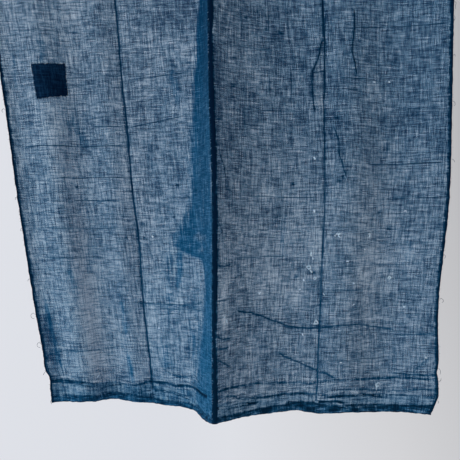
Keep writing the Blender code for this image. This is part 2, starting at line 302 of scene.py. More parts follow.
LEFT_CREASES = (
    (0.4, 1.6, 0.46, ((160, 661), (200, 661.5), (240, 661), (256, 659), (266, 655))),
    (0.3, 1.5, 0.36, ((204, 668), (236, 667.5), (264, 667))),
    (1.1, 1.7, 0.90, ((169, 0), (169.6, 258), (169.8, 340), (170.6, 385), (171.0, 400))),
    (1.2, 2.2, 1.00, ((170.8, 394), (171.4, 417), (171.4, 449), (170.6, 481), (170.6, 529),
                      (171.6, 560), (171.8, 592), (170.2, 612))),
    (1.2, 1.6, 0.82, ((170.4, 608), (169.0, 640), (168.2, 672), (168.4, 703), (169, 751), (169, 794))),
    (1.3, 1.5, 0.34, ((190, 749), (200, 754), (212, 757), (237, 756), (256, 757))),
    (1.2, 1.5, 0.45, ((255, 757), (268, 761), (278, 768))),
    (1.8, 3.0, 0.92, ((0, 764), (8, 766), (19, 766), (54, 767), (75, 770), (96, 773))),
    (0.6, 4.5, 0.62, ((96, 781), (120, 782), (150, 784), (172, 786))),
    (1.6, 3.0, 1.00, ((74, 770), (90, 773), (104, 776), (118, 774), (132, 772))),
    (1.6, 2.0, 1.00, ((128, 772), (150, 770), (163, 767), (178, 767), (192, 767), (207, 770), (220, 769))),
    (1.6, 1.9, 0.90, ((214, 769), (230, 768), (246, 771))),
    (1.8, 2.2, 1.30, ((242, 770), (256, 770), (268, 771), (280, 772), (294, 772), (312, 771))),
    (1.4, 1.8, 0.85, ((74, 778), (92, 781), (112, 781), (130, 781), (150, 780))),
    (1.3, 1.7, 0.80, ((148, 779), (176, 778), (200, 779))),
    (1.6, 2.0, 1.00, ((198, 778), (211, 781), (224, 784), (252, 789), (275, 792))),
    (1.6, 2.2, 1.30, ((262, 790), (282, 789), (304, 789), (317, 790), (336, 790))),
    (1.0, 1.5, 0.60, ((8, 789), (30, 788), (60, 787), (84, 786))),
    (0.8, 3.0, 0.80, ((326, 797), (344, 799))),
    (-1.2, 1.5, 0.15, ((160, 784), (170, 782), (182, 782), (196, 785))),
    (-1.0, 1.6, 0.10, ((70, 779), (84, 775), (96, 775))),
)

# Single dense yarns that show as thin dark bars: how dark, and the two ends, in millimetres
BAR_HALF = 0.58
RIGHT_BARS = (
    (0.75, (218, 300), (262, 297)),
    (0.50, (262, 297), (340, 294)),
    (0.75, (195, 366), (238, 366)),
    (0.55, (176, 420), (201, 420)),
    (0.70, (232, 478), (346, 474)),
    (0.45, (264, 522), (339, 520)),
    (0.40, (20, 330), (110, 331)),
    (0.45, (60, 410), (150, 409)),
    (0.40, (70, 520), (168, 521)),
    (0.40, (40, 598), (130, 597)),
    (0.35, (200, 610), (330, 608)),
    (0.45, (150, 640), (240, 641)),
    (0.70, (218, 300), (232, 299)),
    (0.75, (198, 380), (222, 381)),
    (0.55, (275, 404), (310, 404)),
    (0.55, (61.6, 264), (62.1, 310)),
    (0.50, (63.6, 370), (60.6, 462)),
    (0.60, (104.6, 258), (104.2, 308)),
    (0.60, (102.0, 360), (102.6, 392)),
    (0.50, (129.0, 262), (128.6, 294)),
    (0.55, (133.2, 356), (131.7, 408)),
)
LEFT_BARS = (
    (0.70, (14, 452), (168, 452)),
    (0.65, (60, 494), (168, 493)),
    (0.60, (81, 524), (153, 524)),
    (0.55, (133, 360), (168, 360)),
    (0.50, (122, 426), (163, 426)),
    (0.65, (175, 366), (263, 360)),
    (0.60, (173, 428), (253, 416)),
    (0.50, (8, 730), (34, 724)),
    (0.45, (34, 724), (98, 724)),
    (0.40, (98, 724), (135, 718)),
    (0.45, (20, 600), (120, 600)),
    (0.35, (30, 560), (150, 561)),
    (0.40, (20, 300), (120, 301)),
)

# Small dark knots in the cloth: distance from the left side and drop in millimetres
KNOT_HALF = 1.6
# Half width in millimetres of the pale yarns and of the painted highlight line
PALE_YARN_AND_HIGHLIGHT_HALF = 1.3
LAP_WAVE = 0.0009
LAP_ROLL = 0.0009
KNOT_LENGTHENED = 1.4
KNOT_STRENGTH = 0.8
RIGHT_KNOTS = (
    (87.6, 282), (46.1, 346), (70.1, 292), (101.1, 304), (121.7, 308), (45.6, 382), (191.3, 418),
    (198, 494), (193, 500), (134, 504), (257, 540), (274, 562), (143, 624), (164, 618),
)
LEFT_KNOTS = (
    (90.4, 506), (104.8, 512), (104.3, 522), (183.2, 556), (155.3, 545), (156.3, 574), (180.7, 573),
    (250, 518), (228, 546), (237, 505),
)

# Single pale yarns, and a painted highlight along the top of a crease: strength and the two
# ends, in millimetres
RIGHT_PALE_YARNS_AND_HIGHLIGHT = (
    # Painted highlight along the top of the crease just below it
    (0.75, (197, 677.5), (296, 681)),
    (0.50, (138, 578), (171, 578)),
    (0.45, (60, 566), (112, 565)),
    (0.50, (206, 556), (238, 556)),
)

# Places where the cloth looks deep, even blue, some of them along soft folds, where the deeper
# blue is painted shade of the fold: half width, strength and points in millimetres
LEFT_BLUE_STREAKS = (
    (5.0, 0.50, ((243, 350), (246, 372), (252, 404))),
    (4.5, 0.55, ((18, 652), (17, 700), (21, 756))),
    (3.0, 0.60, ((139, 655), (140, 704))),
    (3.0, 0.65, ((139, 726), (142, 770))),
    (5.0, 0.75, ((233, 584), (232, 608), (228, 624), (227, 642))),
    (9.0, 0.34, ((250, 650), (244, 700), (240, 740))),
    (6.0, 0.30, ((222, 560), (214, 620), (206, 690))),
    (9.0, 0.35, ((86, 410), (98, 428), (112, 452))),
    (5.0, 0.40, ((62, 306), (64, 330), (58, 350))),
    (4.0, 0.35, ((20, 330), (22, 372))),
    (5.0, 0.30, ((196, 440), (204, 486))),
    (5.0, 0.35, ((60, 610), (66, 650))),
    (14.0, 0.34, ((192, 712), (198, 748))),
    (12.0, 0.26, ((98, 580), (94, 622))),
)
RIGHT_BLUE_STREAKS = (
    (2.4, 0.38, ((178.5, 300), (176.6, 360), (175.6, 420), (175.4, 520), (175.4, 640))),
    (4.0, 0.30, ((120, 540), (124, 600))),
    (5.0, 0.28, ((262, 420), (266, 470))),
    (4.0, 0.30, ((300, 560), (304, 610))),
)

# The steep flank left of the seam looks even blue from this flat distance on, at each drop
# Its even blue is partly painted light: the light from the left shining through the steep flank.
BLUE_FLANK_COLUMNS = ("drop", "start", "softness")
BLUE_FLANK = (
    (0, 296, 7),
    (268, 288, 7),
    (320, 282, 7),
    (382, 273, 7),
    (434, 266, 8),
    (474, 260, 9),
    (512, 258, 10),
    (530, 254, 11),
    (544, 247, 12),
    (556, 240, 12),
    (566, 231, 12),
    (576, 227, 12),
    (586, 229, 12),
    (594, 241, 14),
    (602, 268, 12),
    (612, 279, 10),
    (630, 279, 12),
    (646, 275, 18),
    (672, 268, 26),
    (700, 262, 30),
    (740, 257, 32),
    (770, 250, 30),
    (810, 250, 28),
)

# Thinner places in the blue flank: half width, strength and points in millimetres
LEFT_OPENINGS = (
    (5.0, 0.60, ((262, 572), (280, 573), (300, 573))),
    (4.0, 0.50, ((266, 588), (285, 589))),
    (4.0, 0.45, ((337, 480), (336, 510), (336, 548))),
    (3.0, 0.30, ((300, 520), (298, 540))),
)

# How far the seam's dark strip reaches from the lap's free edge, at each drop, in millimetres:
# the lap's dense double cloth, and just past it a painted shadow of the lap
SHADOW_COLUMNS = ("drop", "reach")
LAP_SHADOW = (
    (0, 7.4), (300, 7.4), (330, 6.2), (380, 7.2), (450, 7.6), (510, 6.6), (560, 6.6),
    (600, 7.4), (640, 6.4), (700, 5.8), (735, 6.6), (780, 8.0), (810, 9.0),
)
LAP_SHADOW_BORDER = (-1.6, 2.2)

# Slow change of the tone down each width, at each drop: above 0 is darker, below 0 is paler
TONE_COLUMNS = ("drop", "shift")
LEFT_TONE = ((0, 0.0), (264, -0.06), (400, 0.06), (520, 0.0), (640, -0.04), (810, 0.0))
RIGHT_TONE = ((0, 0.3), (264, 0.34), (400, 0.30), (480, 0.10), (540, -0.04), (640, 0.05), (810, 0.0))

# How grey the cloth looks at each drop, 0 to 1, where the dye has worn down
GREY_COLUMNS = ("drop", "grey")
LEFT_GREY = ((0, 0.95), (264, 0.95), (360, 0.75), (480, 0.45), (600, 0.25), (700, 0.10), (810, 0.0))
RIGHT_GREY = ((0, 0.25), (264, 0.30), (400, 0.35), (540, 0.50), (640, 0.40), (810, 0.30))

# Zones of the left width that are bluer or greyer than the rest: half width, change and points
LEFT_GREY_SHIFTS = (
    (15.0, -0.55, ((85, 260), (83, 338), (80, 392), (83, 444), (84, 496))),
    (15.0, -0.70, ((84, 496), (91, 550), (89, 604), (91, 658), (90, 710), (84, 760))),
    (24.0, 0.50, ((203, 260), (192, 340), (187, 392), (187, 444), (181, 496), (180, 550), (177, 602))),
)

# Zones without a line of their own: half width, strength and points in millimetres. The shaded
# and pale zones are partly the cloth's patchy tone and partly painted shade and painted light:
# shade on flanks turned from the light and just right of the seam, light that evens out the
# shading of the folds.
RIGHT_SHADED = (
    (15.0, 0.24, ((50, 404), (50, 470), (50, 560))),
    (15.0, 0.20, ((52, 626), (54, 690))),
    (16.0, 0.10, ((120, 300), (100, 420))),
    (16.0, 0.34, ((28, 440), (26, 520), (30, 580))),
    (26.0, 0.30, ((292, 500), (300, 545))),
    (22.0, 0.18, ((290, 400), (280, 450))),
    (24.0, 0.26, ((160, 430), (204, 446))),
    (22.0, 0.20, ((66, 546), (116, 550))),
    (16.0, 0.30, ((120, 528), (108, 566))),
    (8.0, 0.60, ((12, 330), (13, 420), (13, 540))),
    (7.0, 0.34, ((12, 540), (12, 600))),
    (9.0, 0.40, ((12, 705), (12, 800))),
    (18.0, 0.30, ((330, 546), (334, 578))),
    (18.0, 0.24, ((56, 672), (62, 706))),
)
LEFT_SHADED = (
    (12.0, 0.16, ((262, 300), (248, 420), (236, 520))),
    (16.0, 0.10, ((120, 300), (130, 380))),
    (46.0, 0.62, ((246, 200), (248, 310))),
    (24.0, 0.24, ((150, 240), (170, 330), (196, 430))),
    (18.0, 0.16, ((226, 340), (222, 560))),
    (14.0, 0.10, ((12, 530), (12, 640))),
    (14.0, 0.72, ((11, 670), (12, 744))),
    (24.0, 0.20, ((198, 326), (216, 372))),
)
RIGHT_PALE = (
    (26.0, 0.30, ((110, 588), (180, 590))),
    (24.0, 0.48, ((254, 582), (250, 646))),
    (18.0, 0.40, ((302, 584), (302, 616))),
    (12.0, 0.42, ((22, 610), (22, 668))),
    (16.0, 0.20, ((300, 320), (330, 350))),
    (16.0, 0.30, ((124, 382), (120, 384))),
    (18.0, 0.46, ((246, 370), (246, 396))),
    (24.0, 0.38, ((84, 630), (160, 646))),
    (16.0, 0.34, ((172, 738), (160, 742))),
    (16.0, 0.34, ((306, 738), (310, 742))),
    (5.0, 0.30, ((170, 346), (168, 372), (169, 402))),
    (20.0, 0.30, ((76, 326), (82, 392))),
    (9.0, 0.80, ((16, 672), (32, 678))),
    (8.0, 0.30, ((24, 612), (24, 640))),
)
LEFT_PALE = (
    (18.0, 0.48, ((72, 392), (66, 440), (70, 462))),
    (26.0, 0.28, ((56, 478), (110, 510))),
    (20.0, 0.62, ((90, 590), (88, 640), (82, 700), (72, 750))),
    (16.0, 0.28, ((184, 640), (180, 700), (184, 744))),
    (14.0, 0.22, ((50, 600), (48, 720))),
    (12.0, 0.34, ((58, 728), (52, 756))),
    (18.0, 0.40, ((160, 728), (164, 752))),
    (14.0, 0.16, ((14, 560), (16, 650))),
    (22.0, 0.30, ((140, 690), (136, 750))),
    (20.0, 0.44, ((132, 722), (124, 752))),
    (18.0, 0.80, ((84, 722), (82, 752))),
    (14.0, 0.22, ((160, 466), (164, 510))),
    (14.0, 0.24, ((96, 580), (92, 620))),
    (3.0, 0.80, ((290.5, 652), (292.5, 660), (296, 668))),
)
RIGHT_GREYED = (
    (6.0, 1.00, ((170, 346), (168, 372), (169, 405))),
)


def smooth_table(rows, columns, name, at):
    """A column of a table as a smooth curve through its rows, read at one place or an array."""
    place = np.array([row[0] for row in rows], dtype=float)
    value = np.array([row[columns.index(name)] for row in rows], dtype=float)
    slope = np.gradient(value, place)
    at = np.clip(np.asarray(at, dtype=float), place[0], place[-1])
    i = np.clip(np.searchsorted(place, at, side="right") - 1, 0, len(place) - 2)
    step = place[i + 1] - place[i]
    t = (at - place[i]) / step
    rise = value[i + 1] - value[i]
    return (
        value[i] + rise * t * t * (3 - 2 * t)
        + step * t * (1 - t) * (slope[i] * (1 - t) - slope[i + 1] * t)
    )


def line_at(name, drop):
    x = smooth_table(SECTIONS, SECTION_COLUMNS, name + "_x", drop / MM)
    y = smooth_table(SECTIONS, SECTION_COLUMNS, name + "_y", drop / MM)
    return np.array([float(x) * MM, float(y) * MM])


def take_up(name, drop):
    return float(smooth_table(TAKE_UP, TAKE_UP_COLUMNS, name, drop / MM))


def soft_step(t, start, end):
    """0 before start and 1 after end, with a smooth rise between."""
    ramp = np.clip((t - start) / (end - start), 0, 1)
    return ramp * ramp * (3 - 2 * ramp)


def left_outer_swing(t):
    flute = np.sin(2 * math.pi * (t - LEFT_FLUTE_CREST) / LEFT_FLUTE_PITCH)
    return flute * (1 - soft_step(t, LEFT_FLUTE_END, 1.0))


def left_inner_swing(t, shoulder):
    half = SHOULDER_SOFTNESS / 2
    return 1 - 2 * soft_step(t, shoulder - half, shoulder + half)


def right_inner_swing(t):
    turn = np.exp(-((t - CREASE_TURN_PLACE) / CREASE_TURN_WIDTH) ** 2)
    return np.cos(math.pi * t) - CREASE_TURN_DEPTH * turn


def right_outer_swing(t):
    return np.sin(2 * math.pi * (t - RIGHT_FLUTE_CREST) / RIGHT_FLUTE_PITCH)


def hang_between(start, end, arc, swing, shares):
    """Points of a strip of cloth of one arc length between two points of a level section."""
    t = (np.arange(ARC_SAMPLES) + 0.5) / ARC_SAMPLES
    pattern = swing(t)
    chord = end - start
    wanted = min(math.hypot(*chord) / arc, LONGEST_CHORD)
    low = 0.0
    high = LARGEST_SWING
    for _ in range(SOLVER_STEPS):
        size = (low + high) / 2
        reach = math.hypot(np.cos(size * pattern).mean(), np.sin(size * pattern).mean())
        if reach > wanted:
            low = size
        else:
            high = size
    along = np.concatenate(([0.0], np.cumsum(np.cos(size * pattern)) / ARC_SAMPLES))
    aside = np.concatenate(([0.0], np.cumsum(np.sin(size * pattern)) / ARC_SAMPLES))
    turn = math.atan2(chord[1], chord[0]) - math.atan2(aside[-1], along[-1])
    stretch = math.hypot(*chord) / math.hypot(along[-1], aside[-1])
    marks = np.linspace(0.0, 1.0, ARC_SAMPLES + 1)
    a = np.interp(shares, marks, along) * stretch
    b = np.interp(shares, marks, aside) * stretch
    x = start[0] + a * math.cos(turn) - b * math.sin(turn)
    y = start[1] + a * math.sin(turn) + b * math.cos(turn)
    return np.column_stack((x, y))


def piecewise(flat, spans):
    points = np.zeros((len(flat), 2))
    for first, last, place in spans:
        inside = (flat >= first - SAME_PLACE) & (flat <= last + SAME_PLACE)
        points[inside] = place((flat[inside] - first) / (last - first))
    return points


def straight(start, end):
    return lambda shares: start + np.outer(shares, end - start)


def left_section(flat, drop):
    """Level section of the left width: X and Y at flat distances from its outer edge."""
    edge = line_at("left_edge", drop)
    crease = line_at("left_crease", drop)
    seam = line_at("seam", drop)
    used = 1.0 - take_up("gather", drop)
    shoulder = take_up("shoulder", drop)
    hem_share = soft_step(drop, *HEM_THICKENS)
    behind = TUCK_BEHIND + (TUCK_BEHIND_HEM - TUCK_BEHIND) * hem_share
    corner = seam + np.array([-SEAM_LAP / 2, behind])
    under_end = corner + np.array([SEAM_UNDERLAP, 0.0])
    crease_flat = LEFT_WIDTH - SEAM_TO_CREASE
    corner_flat = LEFT_WIDTH - SEAM_UNDERLAP
    inner_arc = (corner_flat - crease_flat) * used

    def outer(shares):
        return hang_between(edge, crease, crease_flat * used, left_outer_swing, shares)

    def inner(shares):
        return hang_between(
            crease, corner, inner_arc, lambda t: left_inner_swing(t, shoulder), shares
        )

    spans = (
        (0.0, crease_flat, outer),
        (crease_flat, corner_flat, inner),
        (corner_flat, LEFT_WIDTH, straight(corner, under_end)),
    )
    return piecewise(flat, spans)


def right_section(flat, drop):
    """Level section of the right width: X and Y at flat distances from the seam's free edge."""
    seam = line_at("seam", drop)
    crease = line_at("right_crease", drop)
    edge = line_at("right_edge", drop)
    used = 1.0 - take_up("gather", drop)
    free_edge = seam + np.array([-SEAM_LAP / 2, 0.0])
    corner = seam + np.array([SEAM_LAP / 2, 0.0])
    inner_arc = (SEAM_TO_CREASE - SEAM_LAP) * used
    outer_arc = (RIGHT_WIDTH - SEAM_TO_CREASE) * used

    def inner(shares):
        return hang_between(corner, crease, inner_arc, right_inner_swing, shares)

    def outer(shares):
        return hang_between(crease, edge, outer_arc, right_outer_swing, shares)

    spans = (
        (0.0, SEAM_LAP, straight(free_edge, corner)),
        (SEAM_LAP, SEAM_TO_CREASE, inner),
        (SEAM_TO_CREASE, RIGHT_WIDTH, outer),
    )
    return piecewise(flat, spans)


# Uneven values over a sheet

def unevenness(flat, drop, flat_size, drop_size, seed):
    """Smooth random values, about -1 to 1, with features of the given sizes in metres."""
    values = np.empty(flat.shape)
    source = zip((flat / flat_size).ravel(), (drop / drop_size).ravel())
    values.ravel()[:] = [noise.noise((a, b, seed)) for a, b in source]
    return values


def bell(off, half, power=2):
    """1 in the middle, falling away smoothly on both sides of it."""
    return np.exp(-(off / half) ** power)


def fading_ends(along, span, long=1.0):
    """1 along a line, with a smooth rise from 0 over the span at both of its ends."""
    return soft_step(along * long, 0.0, span) * soft_step((1 - along) * long, 0.0, span)


def set_tone(sheet, tone, grey):
    """Adds a slow change of tone down the sheet, above 0 darker and below 0 paler, and greyness."""
    sheet.marks["grey"] += smooth_table(grey, GREY_COLUMNS, "grey", sheet.drop_mm)
    shift = smooth_table(tone, TONE_COLUMNS, "shift", sheet.drop_mm)
    sheet.marks["shade"] += np.maximum(shift, 0.0)
    sheet.marks["pale"] += np.maximum(-shift, 0.0)


def near_line(flat_mm, drop_mm, points, reach):
    """Distance of each place from the line through the points, how far along it, and its side.

    Places further off than the reach get the reach. The distance along is a share, 0 to 1. The
    side is -1 or 1.
    """
    points = np.array(points, dtype=float)
    low = points.min(axis=0) - reach
    high = points.max(axis=0) + reach
    distance = np.full(flat_mm.shape, float(reach))
    along = np.zeros(flat_mm.shape)
    side = np.ones(flat_mm.shape)
    close = (flat_mm > low[0]) & (flat_mm < high[0]) & (drop_mm > low[1]) & (drop_mm < high[1])
    u = flat_mm[close]
    v = drop_mm[close]
    best = np.full(u.shape, float(reach))
    share = np.zeros(u.shape)
    which_side = np.ones(u.shape)
    lengths = np.hypot(*(points[1:] - points[:-1]).T)
    walked = 0.0
    for start, end, length in zip(points[:-1], points[1:], lengths):
        step = end - start
        t = np.clip(((u - start[0]) * step[0] + (v - start[1]) * step[1]) / length ** 2, 0, 1)
        off = np.hypot(u - start[0] - t * step[0], v - start[1] - t * step[1])
        nearer = off < best
        best[nearer] = off[nearer]
        across = step[0] * (v - start[1]) - step[1] * (u - start[0])
        which_side[nearer] = np.where(across[nearer] < 0, -1.0, 1.0)
        share[nearer] = (walked + t[nearer] * length) / lengths.sum()
        walked += length
    distance[close] = best
    along[close] = share
    side[close] = which_side
    return distance, along, side


# One loom width as a grid of places

def row_drops():
    """Drops of the grid's front rows on cloth of the plain length."""
    coarse = np.arange(0.0, FINE_ROWS_FROM, COARSE_ROW)
    fine = np.arange(FINE_ROWS_FROM, HEM_ROWS_FROM, PLAIN_CELL)
    last = round((CLOTH_LENGTH - HEM_ROWS_FROM) / HEM_CELL)
    hem = np.linspace(HEM_ROWS_FROM, CLOTH_LENGTH, last + 1)
    return np.concatenate((coarse, fine, hem))


def column_places(width, fixed, fine):
    """Flat distances of the grid's columns: closer in the fine spans, and one at each fixed place."""
    marks = {0.0, width, *fixed}
    for first, last, _ in fine:
        marks |= {first, last}
    marks = sorted(marks)
    places = [0.0]
    for start, end in zip(marks[:-1], marks[1:]):
        cell = PLAIN_CELL
        for first, last, fine_cell in fine:
            if first <= (start + end) / 2 <= last:
                cell = fine_cell
        cells = max(1, round((end - start) / cell))
        places += list(np.linspace(start, end, cells + 1)[1:])
    return np.array(places)


class Sheet:
    """The grid of one loom width: where each place hangs, and what is marked on it."""

    def __init__(self, width, columns, section, lengths, seed):
        self.width = width
        self.columns = columns
        self.seed = seed
        self.front_rows = row_drops()
        self.foot = smooth_table(lengths, LENGTH_COLUMNS, "length", columns / width) * MM
        for height, wide, offset in FOOT_WAVES:
            self.foot += height * unevenness(columns, columns * 0, wide, 1.0, seed + offset)
        turn_up = np.linspace(0.0, HEM_HEIGHT, TURN_UP_ROWS + 1)[1:]
        body = self.front_rows[:, None] + self.foot_shift(self.front_rows)
        behind = self.foot[None, :] - turn_up[:, None]
        self.drop = np.vstack((body, behind))
        self.flat = np.broadcast_to(columns, self.drop.shape).copy()
        self.length_along = np.concatenate((self.front_rows, CLOTH_LENGTH + turn_up))
        self.above_foot = self.foot[None, :] - self.drop
        self.flat_mm = self.flat / MM
        self.drop_mm = self.drop / MM
        self.above_mm = self.above_foot / MM
        self.front = len(self.front_rows)
        self.base = self.hang(section)
        self.normal = self.forward_normals(self.base)
        self.offset = np.zeros(self.drop.shape)
        self.marks = {name: np.zeros(self.drop.shape) for name in MARKS}
        self.marks["line_side"] += 1.0

    def foot_shift(self, rows):
        """How far each row is lowered so that the last one follows the foot."""
        share = soft_step(rows, FOOT_SHIFT_FROM, CLOTH_LENGTH)[:, None]
        return share * (self.foot[None, :] - CLOTH_LENGTH)

    def hang(self, section):
        """Places of the grid before its creases, read from level sections of the cloth."""
        levels = np.arange(0.0, LOWEST_LEVEL + SECTION_STEP, SECTION_STEP)
        sections = np.array([section(self.columns, level) for level in levels])
        places = np.empty(self.drop.shape + (3,))
        for c in range(len(self.columns)):
            for axis in (0, 1):
                places[:, c, axis] = np.interp(self.drop[:, c], levels, sections[:, c, axis])
        places[..., 2] = -self.drop
        places[self.front - 1, :, 1] += FOLD_BEHIND / 2
        places[self.front:, :, 1] += FOLD_BEHIND + TURN_UP_BEHIND
        places[self.front, :, 1] -= TURN_UP_BEHIND / 2
        return places

    def forward_normals(self, places):
        """Directions that the front of the sheet faces."""
        across = np.gradient(places, axis=1)
        down = np.gradient(places, axis=0)
        down[self.front - 1:] = down[self.front - 3]
        facing = np.cross(down, across)
        return facing / np.linalg.norm(facing, axis=2, keepdims=True)

    def uneven(self, wide, deep, seed):
        """Random values over the sheet, with features of this width and drop in metres."""
        return unevenness(self.flat, self.drop, wide, deep, self.seed + seed)

    def uneven_down(self, deep, seed):
        """Random values that change down the sheet alone."""
        return unevenness(self.flat * 0, self.drop, 1.0, deep, self.seed + seed)

    def relief(self, rows):
        return sum(height * self.uneven(wide, deep, seed) for height, wide, deep, seed in rows)

    def near_foot(self, start, full):
        """0 higher above the foot than start, and 1 lower than full."""
        return soft_step(-self.above_foot, -start, -full)

    def near_points(self, half, points):
        """1 on the line through the points, falling away over the half width in millimetres."""
        distance, _, _ = near_line(self.flat_mm, self.drop_mm, points, half * SOFT_MARK_REACH)
        return bell(distance, half)

    def mark_most(self, name, values):
        """Raises a mark to the values where they are higher."""
        np.maximum(self.marks[name], values, out=self.marks[name])

    def settle(self):
        """Fixes the finished places, once nothing more moves the sheet."""
        self.places_now = self.base + self.normal * self.offset[..., None]

    def at(self, flat, drop, forward=0.0):
        """Point on the front of the finished sheet, moved forward off it, and its normal."""
        places = self.places_now
        c = int(np.clip(np.searchsorted(self.columns, flat) - 1, 0, len(self.columns) - 2))
        s = (flat - self.columns[c]) / (self.columns[c + 1] - self.columns[c])
        s = min(max(s, 0.0), 1.0)
        drops = self.drop[:self.front, c]
        r = int(np.clip(np.searchsorted(drops, drop) - 1, 0, self.front - 2))
        t = (drop - drops[r]) / (drops[r + 1] - drops[r])
        t = min(max(t, 0.0), 1.0)
        point = (1 - t) * ((1 - s) * places[r, c] + s * places[r, c + 1])
        point = point + t * ((1 - s) * places[r + 1, c] + s * places[r + 1, c + 1])
        facing = self.normal[r, c]
        return point + forward * facing, facing


def draw_line(sheet, distance, side, half, dark):
    """Keeps a thin dark line as the side and distance from its middle, where it is the nearest."""
    place = sheet.marks["line_side"][:sheet.front]
    strength = sheet.marks["line"][:sheet.front]
    reach = np.abs(place - 0.5) * 2 * LINE_REACH
    scaled = distance * LINE_HALF / half
    fade = 1 - soft_step(scaled, *LINE_FADE)
    stronger = (scaled < reach + LINE_MARGIN) & (dark * fade > strength)
    nearest = ((scaled < reach - LINE_MARGIN) | stronger) & (scaled < LINE_REACH)
    place[nearest] = (0.5 + side * scaled / (2 * LINE_REACH))[nearest]
    strength[nearest] = (dark * fade)[nearest]


def pull_creases(sheet, creases):
    """Bends the sheet along its creases, and marks their dark lines: denser folded cloth with painted shade
    in the crease, and a soft painted shade beside them.
    """
    u = sheet.flat_mm + CREASE_WANDER * sheet.uneven(0.013, 0.013, 0)
    v = sheet.drop_mm + CREASE_WANDER * sheet.uneven(0.011, 0.011, 9)
    u = u[:sheet.front]
    v = v[:sheet.front]
    mark = sheet.marks["dark"][:sheet.front]
    for i, (depth, half, dark, points) in enumerate(creases):
        distance, along, side = near_line(u, v, points, CREASE_REACH)
        long = sum(math.dist(a, b) for a, b in zip(points[:-1], points[1:]))
        ends = 0.3 + 0.7 * fading_ends(along, CREASE_END, long)
        bend = bell(distance, half * CREASE_BEND) * ends
        sheet.offset[:sheet.front] -= depth * MM * bend
        patchy = 0.84 + 0.32 * unevenness(along * 7.0, along * 0.0 + i, 1.0, 1.0, sheet.seed + 1)
        if points[0][1] < SOFT_CREASES_FROM:
            draw_line(sheet, distance, side, half * CREASE_LINE, dark * ends * patchy)
            soft = bell(distance, half * CREASE_SHADE) * ends
            np.maximum(mark, CREASE_SHADE_STRENGTH * dark * soft, out=mark)
        else:
            line = bell(distance, half * SOFT_CREASE_LINE, 4) * ends
            np.maximum(mark, dark * line * patchy, out=mark)


def mark_lines(sheet, name, lines):
    """Adds soft marks around lines of (half width, strength, points) in millimetres."""
    u = sheet.flat_mm[:sheet.front]
    v = sheet.drop_mm[:sheet.front]
    mark = sheet.marks[name][:sheet.front]
    for half, strength, points in lines:
        reach = half * SOFT_MARK_REACH
        distance, along, _ = near_line(u, v, points, reach)
        soft = bell(distance, half) * (0.3 + 0.7 * fading_ends(along, MARK_END_SHARE))
        soft[distance >= reach] = 0.0
        np.maximum(mark, strength * soft, out=mark)


def mark_bars(sheet, bars):
    """Marks the single dense yarns."""
    u = sheet.flat_mm[:sheet.front]
    v = sheet.drop_mm[:sheet.front]
    v = v + 0.35 * unevenness(sheet.flat, sheet.drop, 0.02, 0.02, 4.4)[:sheet.front]
    for dark, start, end in bars:
        distance, along, side = near_line(u, v, (start, end), LINE_REACH)
        ends = fading_ends(along, BAR_END_SHARE)
        patchy = 0.8 + 0.5 * unevenness(along * 9.0, along * 0.0 + dark, 1.0, 1.0, start[1])
        draw_line(sheet, distance, side, BAR_HALF, dark * ends * patchy)


def mark_knots(sheet, knots):
    for flat, drop in knots:
        off = np.hypot((sheet.flat_mm - flat) / KNOT_LENGTHENED, sheet.drop_mm - drop)
        sheet.mark_most("dark", KNOT_STRENGTH * bell(off, KNOT_HALF))


def soften_sheet(sheet):
    """Gives the sheet the slight unevenness of handled cloth, and the hem its puckers."""
    sheet.offset += sheet.relief(HANDLED) * MM
    sheet.offset += sheet.near_foot(*PUCKERS_FROM) * sheet.relief(PUCKERS) * MM


def shade_relief(sheet, where, relief, paleness):
    """Stands the relief forward, with a painted highlight on its ridges and painted shade in its hollows.
    """
    sheet.offset += PLEAT_HEIGHT * where * relief
    sheet.marks["pale"] += where * paleness * np.maximum(relief, 0.0)
    sheet.marks["shade"] += where * 0.9 * np.maximum(-relief, 0.0)


def pleat_hem(sheet, paleness, blueness):
    """Fine upright pleats and level rucks across the hem, which is bluer towards the seam."""
    hem = sheet.near_foot(*PLEATS_FROM)
    sheet.marks["pale"] += hem * paleness
    shade_relief(sheet, hem, sheet.relief(PLEATS), 0.9)
    shade_relief(sheet, sheet.near_foot(*RUCKS_FROM), sheet.relief(RUCKS), 0.75)
    blue_share = soft_step(sheet.flat / sheet.width, 0.15, 0.5)
    sheet.marks["blue"] += hem * blueness * (0.3 + 0.7 * blue_share)


def roll_foot(sheet, rolls, blueness, line):
    """Stands the rolled foot forward, and marks its dark edges and blue middle. The dark line along the top
    of the roll is a painted shadow on its denser fold; the foot's dark is its dense layers.
    """
    height = smooth_table(rolls, ROLL_COLUMNS, "height", sheet.flat_mm)
    front = np.ones(sheet.drop.shape)
    front[sheet.front:] = 0.0
    sheet.offset += ROLL_OUT * front * bell(sheet.above_mm - 0.5 * height, 0.36 * height)
    ruck = sheet.uneven(0.010, 1.0, 31)
    above = sheet.above_mm + 0.9 * ruck
    rolled = 1 - soft_step(above, height - 0.8, height + 0.8)
    streak = sheet.uneven(0.016, 0.0020, 32)
    sheet.mark_most("blue", blueness * rolled)
    sheet.marks["pale"] *= 1 - 0.8 * rolled
    sheet.mark_most("dark", rolled * np.clip(1.0 - 0.56 * blueness + 1.3 * streak, 0.0, 0.95))
    # Painted shadow line along the top of the roll, on its denser fold
    broken = np.clip(0.85 + 0.9 * sheet.uneven(0.009, 1.0, 35), 0.3, 1.0)
    sheet.mark_most("dark", line * broken * bell(above - height, ROLL_LINE_HALF))
    foot_line = 1 - soft_step(sheet.above_mm + 0.8 * ruck, 0.8, 3.0)
    sheet.mark_most("dark", 0.55 * line * foot_line)


